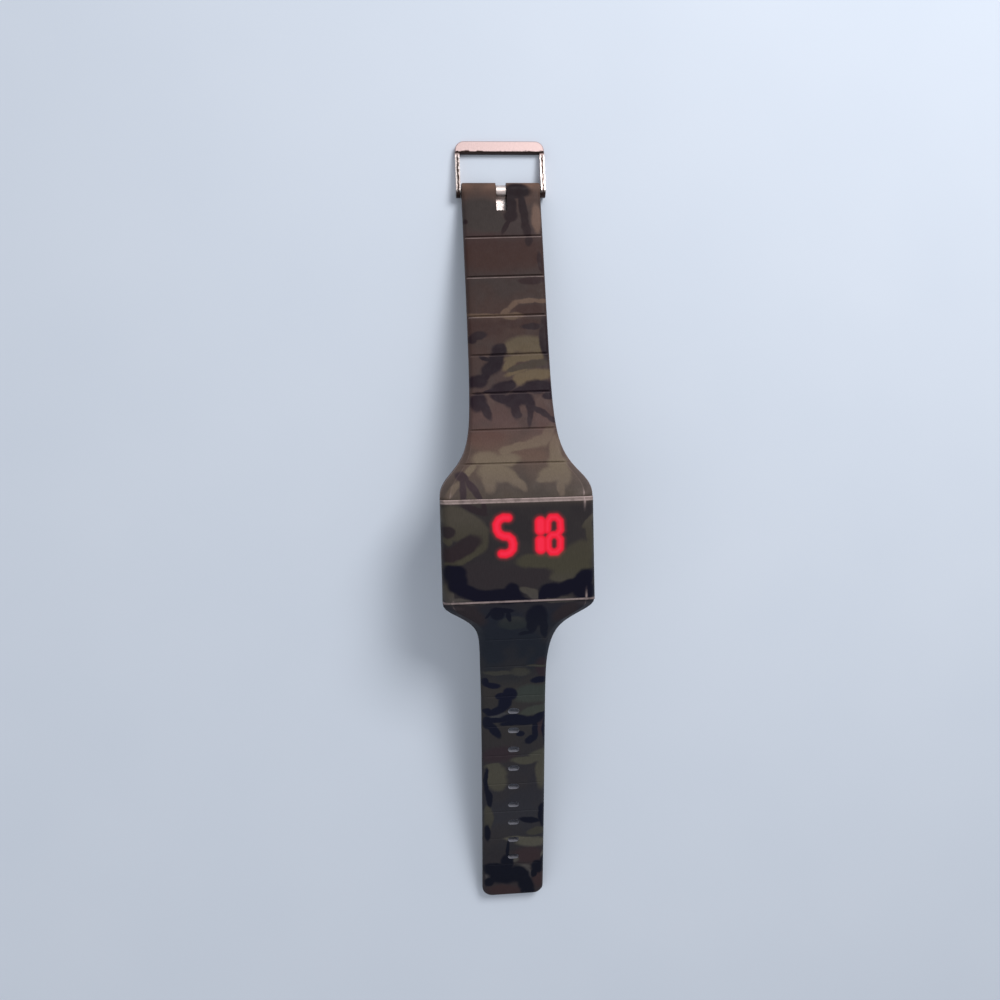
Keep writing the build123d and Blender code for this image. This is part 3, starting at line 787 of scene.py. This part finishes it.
PALE = [
    # buckle side
    (9.8, 91.4, 1.5, 4.2), (-0.6, 63.4, 1.8, 1, 40), (1.8, 65.3, 2, 0.9, 32), (5.6, 66.4, 3.8, 0.8, 4),
    # The two thin streaks across near 62 lie on a cross line: partly painted highlight on its lip, partly
    # abrasion
    (9.8, 66.2, 1.8, 0.7), (-6.2, 62.4, 5.4, 0.7), (1.2, 62.2, 3.4, 0.9), (4.4, 53.8, 5.4, 2.4),
    (0.4, 53, 1.9, 2), (7.8, 53.6, 1.8, 2.4), (4.4, 50.2, 6.6, 1.1, 5), (0.4, 48.6, 3, 1.2, 38),
    (7.2, 45, 4.8, 1.8, 6), (2.8, 43.8, 2.2, 1.9, 30), (2, 46.1, 3.4, 0.9, 16), (3.4, 36.2, 1.8, 1.6),
    (8.2, 36.9, 2.6, 2, 32), (-6.2, 37.6, 1.4, 2.4, 16), (9.6, 28.2, 1.6, 3.2, -28),
    (6.4, 26.4, 3.8, 1.5, 22), (1.6, 24.9, 3.6, 1.1, 12), (-2.2, 24, 2, 1.2, 10), (11.4, 24.2, 1.6, 4.2, -8),
    (-7.8, 22.2, 3.8, 1.9), (-2.6, 21.6, 4, 1.6), (11.6, 20.6, 2.4, 1.8),
    # shoulder
    (-6.2, 18.6, 4.2, 2.6), (-7.4, 16, 1.9, 3.2, 6), (-3.4, 17.6, 3.2, 2.2, -10), (-1.5, 16.9, 1.7, 3.2, 30),
    (0.9, 14.9, 1.2, 2.2, 40), (9.6, 17.6, 3.8, 2, 12), (12.6, 17.4, 2.2, 3.2, 10), (11.9, 13.9, 1, 2.3, 10),
    (7.2, 16.2, 2, 0.9, 10), (-12.6, 19.2, 2.6, 0.9, 40), (-17.6, 13.8, 3, 1, 50),
    # tail
    # The thin streaks across near -39 and -94 lie on cross lines: partly painted highlight on their lips,
    # partly abrasion
    (-5.6, -39.4, 4.6, 0.6, -4), (0.8, -39.6, 2.6, 1.3, -8), (5.6, -37.8, 3, 0.4, 4),
    (-0.8, -94, 3.4, 0.8, -4), (4.2, -95.6, 4.4, 1.7, -4), (-1, -101.2, 1.5, 1.3, -50),
    (1.6, -104.5, 2.4, 0.9), (3.6, -106.6, 0.8, 2, 24), (-9.2, -106.8, 0.9, 1.5),
    (-5.6, -52.8, 3.2, 0.8, 10), (8.2, -100.6, 0.9, 1.6),
]
OLIVE = [
    # beside the tongue and on the links
    (-6.4, 92.6, 6.6, 5.4), (-3.6, 89.6, 5, 2.6), (5.8, 48, 5.8, 1.1, 14), (1.2, 46.9, 2, 0.8, 10),
    # face: an arc round a dark oval, then the right side
    (-17.6, 6.8, 4.4, 2.8, -14), (-13.2, 5, 4.4, 2.3, -26), (-10.5, 2.2, 2.4, 3.4, 6),
    (-10.6, -0.8, 2, 3.2, -22), (-13.2, -3.7, 3.8, 1.3, 32), (-17.2, -5.5, 3.2, 0.8, 10),
    (-16.6, 3, 4.4, 2.6), (-19.4, 0.4, 1.4, 1.4), (-19.4, -14.4, 1.6, 3.4, 18),
    (-15.8, -16.6, 3.8, 0.9, -14), (-10.4, -17.3, 2.8, 0.5), (19.4, 4.5, 2.4, 1, 38), (19.3, 2.2, 1.2, 2.8),
    (5.2, -5.9, 6.2, 2), (12, -6.2, 4.8, 2.8, 10), (16.4, -4.6, 4.6, 3.6, 40), (19.6, -2.4, 1.2, 3.4, -8),
    (14.2, -8.8, 5.8, 2.4, 16), (10.4, -10.5, 2.2, 1.1), (2.2, -14, 2.6, 0.9, -14),
    (3.4, -15, 1.8, 1.3, -50), (4.3, -15.8, 0.8, 1.6), (10.8, -16.9, 4.8, 1),
    # tail
    (-1.6, -23.6, 4.2, 2), (3.8, -46.4, 5, 2.8), (7.4, -46.4, 1.8, 2.8), (4.6, -51.6, 4, 1.4, 10),
    (7.6, -51, 1.4, 1.2), (-6.4, -71.6, 3.4, 2.8), (-6, -74.4, 3, 2.6), (-8.9, -86.4, 1.5, 4.4),
    (6.2, -66.2, 3.2, 1.9, 18), (2.2, -67.6, 4, 1.2), (7.1, -71.8, 1.8, 5.2), (5.8, -91.8, 3, 1.4, 8),
    (-7.4, -69, 2.6, 1),
]
DARK = [
    # end at the buckle and first links
    (4.6, 99.6, 4, 2.2), (2.7, 95.4, 1.9, 4.4), (2.4, 91.9, 2.2, 1.8, 20), (0.9, 89, 2.9, 0.8, 60),
    (6.2, 94.2, 1.2, 6, 4), (6.7, 88.8, 1.1, 3.8, 8), (7.3, 84.7, 1.1, 1.9), (10.3, 78, 0.9, 3.2, 6),
    (7.4, 72.6, 4, 1), (-11.2, 90.4, 0.9, 0.8),
    # middle of the buckle side
    (6.6, 59, 3, 1, 6), (10.3, 56, 1.4, 6.6), (-8.6, 56.3, 2.6, 1.3, 14), (-10.4, 55.1, 1.3, 1.2),
    (-3, 52.4, 2, 2), (-4, 49.2, 2.2, 4, -14), (-6.9, 49.9, 1.5, 0.7, -20), (-5.9, 46.9, 2.6, 1.9, 20),
    (-9, 43.4, 2.6, 1.9, 8), (-10.6, 43.2, 1.3, 1.6), (-7.2, 44.9, 1.4, 1.3), (-2.2, 41.5, 3.8, 1.8, 14),
    (0.2, 42.4, 1.4, 1.3), (-5.6, 40.5, 2.6, 0.6, 8), (7.6, 41.8, 4.4, 1.9, 4), (10.6, 40.6, 1.3, 2),
    (3.4, 40.8, 3.2, 0.9, 8), (-9.4, 37.5, 2.6, 2.7), (-7.1, 35.2, 1.2, 3, 22), (-2.8, 38.7, 3.6, 1.3, -14),
    (0.6, 37.8, 2.8, 2.3), (0.8, 35.4, 1.4, 2.8, 6), (1.4, 33.8, 1.4, 0.9), (3.8, 38.3, 2.6, 2, -20),
    (5.5, 36.2, 1.3, 2.6, 8), (5.3, 33.6, 0.8, 3.2, -16), (8.4, 34.4, 3.4, 0.9, -32),
    (11.3, 32.6, 1.5, 0.9, -10), (10.2, 39, 1.8, 1.1),
    # shoulder and face
    (-14.6, 13.6, 0.9, 3.8, 4), (-15, 17.4, 1.8, 1.3, -20), (-11.8, 13.6, 4.4, 0.9, -56),
    (-9.3, 8.8, 0.6, 1.8, 10), (-11.8, 8.3, 3.8, 0.9, -20), (-15.2, -1.8, 5.4, 2.3, 28),
    (-18.9, -3.6, 2.4, 2, 10), (-19.3, 2.7, 2.2, 1.6),
]
BLACK = [
    # face
    (-17.8, -8.6, 3.2, 2.6), (-17, -11.2, 2.9, 2.9, -40), (-14.4, -13.8, 4.2, 1.9, -30),
    (-9.4, -15.5, 5.8, 1.8, -4), (-4.2, -15.4, 5, 2.2), (-2.3, -13.8, 2.2, 2.2), (0.2, -16.3, 2.8, 0.9, -20),
    (9, -14.2, 3.8, 2.1), (13.6, -13.2, 5.2, 2.1, 12), (17.5, -11.2, 3.6, 2.4, 45), (17.8, -14.4, 3.2, 2.6),
    (6.4, -15.4, 1.4, 1.6),
    # shoulder on the tail side
    (-6.1, -20.8, 1.9, 1.6, -12), (-3, -21.3, 0.7, 1.8, 8), (-8.6, -20.7, 1.4, 0.5, 50), (4.6, -21.4, 3, 3),
    (3.7, -24.6, 1.4, 2.2, 6), (6.9, -25.2, 1, 3.6, 8), (2, -26.8, 2.2, 0.6, 10), (-4.8, -19.5, 3.4, 0.8),
    # links of the tail
    (-7.6, -43.1, 2.7, 1, -10), (-9.4, -42, 1, 1.4), (6.4, -42.3, 2.9, 0.9, 6), (-2.4, -46.1, 2, 1.9),
    (-5, -46.9, 1.8, 1.1, 10), (-3.8, -48.8, 2, 2.4, -24), (-5.8, -51.2, 3.6, 1.3, 20), (-9, -51, 1.3, 1),
    (-1, -53.9, 4.2, 1.4, -2), (2.6, -54.9, 4.8, 1.4, 4), (6.8, -53.6, 2.6, 1.2, 14),
    (-8.7, -54.8, 1.7, 1.8), (-5.8, -54.3, 3, 0.8), (-6.9, -57.2, 1.2, 3.2, 32), (-2.6, -55.6, 2.8, 0.8),
    (4.9, -58.2, 1, 3.2), (3.7, -61, 1.8, 1.1, 30), (8, -58.6, 0.9, 4.4), (0.8, -59, 1.3, 0.9),
    (-9.4, -74, 0.7, 4.8), (-8.7, -79.4, 0.9, 3.4, 8), (3.6, -87.8, 3.2, 1, -8), (7.3, -86.2, 1.1, 4.2, 4),
    (8.4, -89.4, 0.8, 2.6), (-9.1, -91.4, 1.1, 2.8), (-2.9, -98.2, 0.6, 4), (-3, -102, 1.8, 2.8, 10),
    (-6.6, -104.6, 4.4, 2.2), (-4, -107, 5, 3.2), (0.6, -106.9, 3.6, 2.7, -34), (2.7, -110.4, 2.5, 3.4, 24),
    (3.2, -113.2, 2.2, 1.6), (6.5, -104.4, 2.3, 2.3, 10), (8.1, -103, 1.1, 2.4), (5.2, -106.8, 1, 1.6),
    (-8.7, -109.2, 1.7, 1.8),
]

# Printed tones: height in millimetres along the print, red, green and blue. The tones also carry painted
# light along
# the band: lighter and warmer towards the buckle, darker and bluer towards the tail, with a painted
# highlight on the rolled end. Each layer has its ellipses and the softness of their outline too.
GROUND_AND_LIGHT = [
    (-115, 50, 43, 47), (-98, 44, 42, 46), (-88, 48, 48, 54), (-74, 44, 43, 49), (-60, 48, 46, 48),
    (-44, 50, 48, 48), (-38, 30, 35, 44), (-22, 32, 36, 47), (-17.5, 38, 36, 43), (-16, 42, 38, 41),
    (9, 44, 39, 41), (11, 76, 66, 58), (14, 79, 68, 62), (24, 92, 73, 64), (32, 85, 64, 61),
    (46, 68, 53, 50), (60, 66, 48, 43), (72, 60, 46, 43), (90, 64, 50, 49), (99, 78, 60, 54),
    # This tone and the one before it paint a highlight on the rolled end round the pin
    (101.5, 112, 86, 74),
]
LAYERS = [
    (BROWN, 0.2, [
        (-110, 56, 42, 44), (-90, 54, 44, 48), (-40, 46, 37, 44), (-16, 45, 39, 42), (0, 45, 39, 42),
        (22, 96, 76, 66), (28, 88, 64, 58), (58, 60, 42, 39), (80, 60, 40, 36), (90, 58, 40, 39)]),
    (PALE, 0.16, [
        (-110, 70, 66, 70), (-95, 82, 79, 70), (-50, 60, 60, 64), (-38, 58, 57, 52), (12, 100, 86, 76),
        (20, 112, 98, 82), (28, 106, 88, 76), (34, 80, 61, 58), (39, 84, 66, 62), (43, 100, 84, 64),
        (50, 94, 80, 62), (56, 88, 76, 60), (64, 96, 76, 64), (92, 106, 84, 74)]),
    (OLIVE, 0.12, [
        (-110, 60, 59, 52), (-90, 62, 60, 54), (-72, 74, 71, 62), (-46, 55, 60, 57), (-24, 42, 46, 49),
        (-16, 70, 65, 62), (-8, 65, 61, 49), (1, 64, 59, 50), (6, 72, 66, 58), (46, 66, 56, 48),
        (92, 57, 49, 47)]),
    (DARK, 0.12, [
        (-4, 42, 32, 36), (3, 42, 34, 37), (9, 44, 34, 38), (14, 58, 45, 49), (33, 50, 37, 41),
        (37, 38, 25, 33), (50, 27, 15, 24), (58, 40, 27, 31), (74, 46, 29, 30), (98, 33, 22, 26)]),
    (BLACK, 0.1, [
        (-112, 6, 9, 25), (-60, 14, 17, 34), (-44, 12, 15, 35), (-30, 18, 22, 36), (-20, 14, 16, 32),
        (-16, 5, 4, 25)]),
]


def soft_ellipse(tree, at, x, y, long, wide, turn=0, depth=1000):
    """Field of one ellipse: 1 in its middle, 0.5 on its outline, and the same at any depth."""
    inputs = {"Vector": at, "Location": (x, y, 0), "Rotation": (0, 0, radians(turn)),
              "Scale": (2 * long, 2 * wide, depth)}
    place = tree.add("Mapping", inputs, vector_type="TEXTURE").outputs[0]
    return tree.add("TexGradient", {"Vector": place}, gradient_type="SPHERICAL").outputs["Fac"]


def melted(tree, at, blotches, softness=0.16):
    """Field of the soft ellipses together: 0.5 on their common outline."""
    return tree.join("SMOOTH_MAX", [soft_ellipse(tree, at, *blotch) for blotch in blotches], softness)


def camouflage_group():
    """Node group: the printed colour at a place in millimetres, with painted light along the band."""
    group = bpy.data.node_groups.new("camouflage", "ShaderNodeTree")
    group.interface.new_socket("Place", in_out="INPUT", socket_type="NodeSocketVector")
    group.interface.new_socket("Color", in_out="OUTPUT", socket_type="NodeSocketColor")
    tree = Tree(group)
    place = group.nodes.new("NodeGroupInput").outputs["Place"]
    output = group.nodes.new("NodeGroupOutput")
    flat = tree.vector("MULTIPLY", place, (1, 1, 0))
    at = flat
    for scale, detail, reach in ((0.16, 1.0, 1.6), (0.5, 2.0, 0.7)):
        wander = tree.vector("SUBTRACT", tree.noise(flat, scale, detail, output="Color"), (0.5, 0.5, 0.5))
        at = tree.vector("ADD", at, tree.scaled(wander, reach))
    along = tree.add("SeparateXYZ", {0: flat}).outputs["Y"]
    height = tree.math("DIVIDE", tree.math("ADD", along, PRINT_REACH), 2 * PRINT_REACH)
    # Ground tone with painted light: lighter towards the buckle, darker and bluer towards the tail
    colour = lit_tones_at(tree, height, GROUND_AND_LIGHT)
    broad = tree.noise(flat, 0.09, 2.0)
    colour = tree.mix(tree.step(broad, 0.42, 0.62, 0.0, 0.35), colour, rgb(54, 49, 48))
    for blotches, softness, tones in LAYERS:
        spot = tree.step(melted(tree, at, blotches), 0.5 - softness, 0.5 + softness)
        colour = tree.mix(spot, colour, lit_tones_at(tree, height, tones))
    tree.feed(output, {"Color": colour})
    return group


def lit_tones_at(tree, height, tones):
    """Ramp through the tones, which hold painted light along the band as well as the print."""
    return tree.ramp(height, [((y + PRINT_REACH) / (2 * PRINT_REACH), rgb(*tone)) for y, *tone in tones])


def printed_surface(name, group, lit=False):
    """Silicone or plastic with a dull sheen that carries the print, its raised edges painted light, partly
    as abrasion and partly as painted highlight.
    """
    tree = Finish(name)
    place = tree.vector("ADD", tree.head_millimetres(), (0, PRINT_MIDDLE, 0))
    printed = tree.add("Group", {"Place": place}, node_tree=group).outputs["Color"]
    grain = tree.noise(tree.vector("MULTIPLY", place, (3.2, 0.6, 3.2)), 1.0, 3.0, 0.6)
    shade = tree.ramp(tree.step(grain, 0.25, 0.75), [(0.0, (0.84, 0.84, 0.84, 1)), (1.0, (1, 1, 1, 1))])
    colour = tree.mix(1.0, printed, shade, "MULTIPLY")
    worn_and_lit = tree.add("Attribute", attribute_name="wear_and_highlight").outputs["Fac"]
    patchy = tree.noise(place, 0.5, 3.0, 0.6)
    worn_and_lit = tree.math("MULTIPLY", worn_and_lit, tree.step(patchy, 0.3, 0.6, 0.6, 1.0), clamp=True)
    # Painted highlight, partly abrasion: raised edges lightened towards a pale pink grey
    colour = tree.mix(worn_and_lit, colour, rgb(188, 166, 162))
    tree.paint({"Base Color": colour, "Roughness": tree.step(patchy, 0.3, 0.7, 0.5, 0.62),
                "Specular IOR Level": 0.13})
    tree.bump(grain, 0.25, 0.00006)
    if lit:
        add_display(tree, place, colour)
    return tree.material


# The time as light through the face: paths of a glowing stroke in the print's millimetres
FIVE = [(-2.8, 6), (-4.1, 6.1), (-5.3, 5.5), (-6, 4.3), (-5.9, 2.8), (-5.3, 1.7), (-4.2, 1.1),
        (-2.9, 0.9), (-2, 0.1), (-1.65, -1.1), (-1.8, -2.5), (-2.6, -3.4), (-3.7, -3.8), (-4.8, -3.7)]
EIGHT = [(7.8, 2.3), (7.9, 4.6), (8.8, 5.8), (10.3, 5.8), (11.3, 4.7), (11.4, 2.3), (10.4, 1), (8.8, 1),
         (7.9, -0.3), (7.9, -2.6), (8.8, -3.7), (10.2, -3.7), (11.2, -2.7), (11.3, -0.3), (10.4, 1)]
ONE_HIGH = [(5.9, 4.6), (5.9, 2.5)]
ONE_LOW = [(5.9, -0.5), (5.9, -2.6)]
STROKE_RADIUS = 0.93
FIVE_RADIUS = 1.1
BROAD_RADIUS = 1.5


def stroke_distance(tree, at, start, end):
    """Distance in millimetres from a straight stroke."""
    reach = Vector((end[0] - start[0], end[1] - start[1], 0))
    away = tree.vector("SUBTRACT", at, (*start, 0))
    run = tree.vector("DOT_PRODUCT", away, tuple(reach), "Value")
    share = tree.math("DIVIDE", run, reach.length_squared, clamp=True)
    return tree.vector("DISTANCE", away, tree.scaled(tuple(reach), share), "Value")


def path_distance(tree, at, path):
    """Distance in millimetres from a path of straight strokes."""
    return tree.join("MINIMUM", [stroke_distance(tree, at, *ends) for ends in zip(path, path[1:])])


def add_display(tree, place, colour):
    """Light of the figures, and the printed colour darkened under it."""
    flat = tree.vector("MULTIPLY", place, (1, 1, 0))
    five = tree.math("SUBTRACT", path_distance(tree, flat, FIVE), FIVE_RADIUS - STROKE_RADIUS)
    thin = tree.math("SMOOTH_MIN", five, path_distance(tree, flat, EIGHT), 0.2)
    high, low = (path_distance(tree, flat, path) for path in (ONE_HIGH, ONE_LOW))
    broad = tree.math("SMOOTH_MIN", high, low, 0.5)
    broad = tree.math("SUBTRACT", broad, BROAD_RADIUS - STROKE_RADIUS)
    nearest = tree.math("SMOOTH_MIN", thin, broad, 0.4)
    halo = tree.step(nearest, STROKE_RADIUS + 1.2, STROKE_RADIUS)
    core = tree.step(nearest, STROKE_RADIUS + 0.4, STROKE_RADIUS - 0.35)
    heart = tree.step(nearest, STROKE_RADIUS - 0.3, 0.0)
    glow = tree.mix(halo, rgb(0, 0, 0), rgb(86, 6, 14))
    glow = tree.mix(core, glow, rgb(234, 24, 52))
    glow = tree.mix(heart, glow, rgb(242, 38, 68))
    tree.paint({"Emission Color": glow, "Emission Strength": 1.0,
                "Base Color": tree.mix(core, colour, rgb(20, 4, 6))})


def slot_walls():
    """Light grey walls inside the adjusting slots, lighter than the print around them."""
    tree = Finish("slot_wall")
    cloud = tree.noise(tree.head_millimetres(), 1.2, 3.0)
    tree.paint({"Base Color": tree.mix(cloud, rgb(110, 110, 119), rgb(138, 137, 145)),
                "Roughness": tree.step(cloud, 0.3, 0.7, 0.45, 0.6)})
    return tree.material


def plain_silicone():
    """Underside of the band: unprinted dark silicone with a fine moulded grain."""
    tree = Finish("plain_silicone")
    place = tree.millimetres()
    cloud = tree.noise(place, 0.2, 3.0)
    tree.paint({"Base Color": tree.mix(cloud, rgb(34, 32, 32), rgb(44, 42, 41)),
                "Roughness": tree.step(cloud, 0.3, 0.7, 0.5, 0.62)})
    tree.bump(tree.noise(place, 5.0, 3.0, 0.6), 0.3, 0.00005)
    return tree.material


def steel(name, colour, roughness, brushed=(1, 1, 1)):
    """Bare metal with fine scratches and slightly uneven polish."""
    tree = Finish(name)
    place = tree.millimetres()
    cloud = tree.noise(place, 0.35, 3.0)
    lines = tree.noise(tree.vector("MULTIPLY", place, brushed), 4.0, 4.0, 0.7)
    tree.paint({"Base Color": tree.mix(tree.step(cloud, 0.3, 0.7), colour, darkened(colour, 0.86)),
                "Roughness": tree.step(lines, 0.3, 0.7, roughness * 0.75, roughness * 1.3),
                "Metallic": 1.0})
    tree.bump(lines, 0.35, 0.00003)
    return tree.material


def buckle_steel():
    """Polished steel with painted reflections, darker down the middle of the arms, at the lugs' ends and on
    the lower sides, painted shade along the bar's inner edge, and duller on the bar and the tongue's eye."""
    tree = Finish("buckle_steel")
    place = tree.head_millimetres()
    x, along, _ = tree.add("SeparateXYZ", {0: place}).outputs
    facing = tree.add("SeparateXYZ", {0: tree.add("TexCoord").outputs["Normal"]}).outputs["Y"]
    ragged = tree.math("SUBTRACT", tree.noise(place, 1.1, 3.0, 0.6), 0.5)
    across = tree.math("ABSOLUTE", x)
    off_middle = tree.math("ABSOLUTE", tree.math("SUBTRACT", tree.math("ADD", across, ragged), ARM_MIDDLE))
    on_arm = tree.step(along, BAR_INNER, BAR_INNER - 1.0)
    # Painted reflection: a darker band down the middle of each arm
    arm_reflection = tree.times(tree.step(off_middle, 0.38, 0.12), on_arm)
    on_lug = tree.step(across, LUG_INNER, LUG_INNER + 0.6)
    # Painted reflection at the lugs' ends
    lug_end_reflection = tree.times(tree.step(along, LUG_TOP, LUG_TOP - 1.2), on_lug)
    # Painted reflection on the lower sides, past the lugs
    lower_side_reflection = tree.step(tree.math("ADD", facing, tree.times(ragged, 0.8)), -0.25, -0.55)
    lower_side_reflection = tree.times(lower_side_reflection, tree.step(along, LUG_TOP + 3, LUG_TOP + 5))
    # Painted shade along the bar's inner edge, its line made wavy
    wavy = tree.math("SUBTRACT", along, tree.times(ragged, 2.0))
    from_bar = tree.step(along, BAR_INNER - 1, BAR_INNER)
    edge = tree.times(tree.step(wavy, BAR_INNER + 0.5, BAR_INNER + 0.2), from_bar)
    painted_dark = tree.join("MAXIMUM", [arm_reflection, lug_end_reflection, edge, lower_side_reflection])
    cloud = tree.noise(place, 0.6, 3.0)
    bright = tree.mix(tree.step(cloud, 0.35, 0.65), rgb(246, 234, 228), rgb(226, 208, 202))
    on_bar = tree.step(along, BAR_INNER - 2.0, BAR_INNER)
    lines = tree.noise(place, 4.0, 4.0, 0.7)
    speckled = tree.mix(tree.step(lines, 0.4, 0.6), rgb(190, 167, 164), rgb(216, 193, 190))
    bright = tree.mix(on_bar, bright, speckled)
    off_band = tree.step(along, TONGUE_BACK - 0.5, TONGUE_BACK)
    on_eye = tree.times(tree.step(across, TONGUE_HALF + 0.4, TONGUE_HALF), off_band)
    duller = tree.math("MAXIMUM", tree.times(on_bar, 0.34), tree.times(on_eye, 0.16))
    rough = tree.math("ADD", tree.step(lines, 0.3, 0.7, 0.2, 0.34), duller)
    tree.paint({"Base Color": tree.mix(painted_dark, bright, rgb(66, 52, 48)), "Roughness": rough,
                "Metallic": 1.0})
    tree.bump(lines, 0.25, 0.00003)
    return tree.material


def moulded(name, colour, roughness, grain=0.2):
    """Plastic, resin or rubber with faint mottling and a moulded grain."""
    tree = Finish(name)
    place = tree.millimetres()
    patches = tree.step(tree.noise(place, 0.5, 3.0), 0.35, 0.65)
    fine = tree.noise(place, 4.0, 3.0, 0.6)
    tree.paint({"Base Color": tree.mix(patches, colour, darkened(colour, 0.76)),
                "Roughness": tree.step(fine, 0.3, 0.7, roughness * 0.85, roughness * 1.15)})
    tree.bump(fine, grain, 0.00005)
    return tree.material


def printed_board():
    """Green solder mask over copper tracks that show as a paler net."""
    tree = Finish("board_green")
    place = tree.millimetres()
    cells = tree.add("TexBrick", {"Vector": place, "Scale": 0.35, "Mortar Size": 0.03, "Mortar Smooth": 0.4})
    tracks = cells.outputs["Fac"]
    cloud = tree.noise(place, 0.6, 2.0)
    mask = tree.mix(cloud, rgb(14, 74, 44), rgb(20, 92, 56))
    tree.paint({"Base Color": tree.mix(tracks, mask, rgb(46, 128, 76)), "Roughness": 0.35})
    tree.bump(tracks, 0.4, 0.00006)
    return tree.material


def glowing_bars():
    """Diffusing plastic over the lit chips, glowing a little unevenly."""
    tree = Finish("red_light")
    cloud = tree.noise(tree.millimetres(), 0.8, 2.0)
    glow = tree.mix(cloud, rgb(230, 24, 50), rgb(255, 60, 84))
    tree.paint({"Base Color": glow, "Emission Color": glow, "Emission Strength": 0.8})
    return tree.material


def finish_cad_nodes(pin):
    """Materials of the pieces that keep their construction shape, and softened edges on outer metal."""
    polished = buckle_steel()
    brass = steel("spring_brass", rgb(222, 190, 128), 0.35)
    finishes = {
        "light_filter": moulded("smoky_film", rgb(44, 18, 18), 0.25, grain=0.05),
        "digit_mask": moulded("black_mask", rgb(26, 26, 27), 0.7),
        "lit_segments": glowing_bars(),
        "unlit_segments": moulded("dark_segment", rgb(92, 40, 40), 0.4),
        "led_chips": moulded("led_chip", rgb(214, 206, 160), 0.4),
        "touch_plate": steel("copper", rgb(206, 140, 104), 0.35),
        "circuit_board": printed_board(),
        "control_chip": moulded("resin", rgb(16, 16, 17), 0.18, grain=0.05),
        "crystal": steel("crystal_can", rgb(206, 206, 200), 0.32),
        "resistors": moulded("resistor", rgb(34, 34, 36), 0.45),
        "module_frame": moulded("carrier_plastic", rgb(226, 225, 220), 0.5),
        "coin_cell": steel("cell_steel", rgb(206, 206, 206), 0.28, brushed=(0.3, 3.0, 1.0)),
        "battery_minus_contact": brass, "battery_plus_contact": brass,
        "battery_insulator": moulded("amber_film", rgb(216, 172, 70), 0.3, grain=0.05),
        "back_gasket": moulded("gasket_rubber", rgb(30, 30, 30), 0.65),
        "back_cover": steel("back_steel", rgb(196, 196, 198), 0.34, brushed=(0.25, 4.0, 1.0)),
        "back_screws": steel("screw_steel", rgb(186, 186, 188), 0.28),
        "buckle_frame": polished, "buckle_tongue": polished,
        "spring_bar_barrel": pin, "spring_bar_tip_left": pin, "spring_bar_tip_right": pin,
    }
    for name, material in finishes.items():
        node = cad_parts[name]
        node.data.materials.clear()
        node.data.materials.append(material)
    for name in ("buckle_frame", "buckle_tongue", "back_cover", "back_screws"):
        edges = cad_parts[name].modifiers.new("edges", "BEVEL")
        edges.width = SOFT_EDGE * MM
        edges.segments = 3
        edges.limit_method = "ANGLE"
        edges.angle_limit = radians(SOFT_EDGE_ANGLE)


# Studio

def make_studio():
    bpy.ops.mesh.primitive_plane_add(size=4.0)
    floor = bpy.context.object
    floor.name = "floor"
    tree = Finish("pale_floor")
    cloud = tree.noise(tree.millimetres(), 0.02, 2.0)
    tree.paint({"Base Color": tree.mix(cloud, rgb(206, 214, 226), rgb(212, 219, 230)),
                "Roughness": 0.9, "Specular IOR Level": 0.2})
    floor.data.materials.append(tree.material)
    world = bpy.data.worlds.new("studio")
    world.use_nodes = True
    background = world.node_tree.nodes["Background"].inputs
    background["Color"].default_value = rgb(232, 236, 242)
    background["Strength"].default_value = 0.5
    bpy.context.scene.world = world
    add_softbox("key", at=(0.24, 0.36, 0.46), size=0.26, watts=2.6)
    add_softbox("fill", at=(-0.36, -0.2, 0.42), size=0.5, watts=0.45)


def add_softbox(name, at, size, watts):
    data = bpy.data.lights.new(name, "AREA")
    data.size = size
    data.energy = watts
    lamp = in_scene(name, data)
    lamp.location = at
    lamp.rotation_euler = (-Vector(at)).to_track_quat("-Z", "Y").to_euler()


def make_camera():
    data = bpy.data.cameras.new("camera")
    data.lens = CAMERA_LENS
    data.clip_start = 0.01
    camera = in_scene("camera", data)
    camera.location = Vector(CAMERA_AT) * MM
    camera.rotation_euler = [radians(turn) for turn in CAMERA_TURN]
    bpy.context.scene.camera = camera


camouflage = camouflage_group()
make_band([printed_surface("camouflage_silicone", camouflage), plain_silicone(), slot_walls()])
make_face(printed_surface("printed_face", camouflage, lit=True))
pin_steel = steel("pin_steel", rgb(196, 196, 194), 0.3)
make_spring(pin_steel)
finish_cad_nodes(pin_steel)
make_studio()
make_camera()
bpy.context.scene.view_settings.view_transform = "Standard"
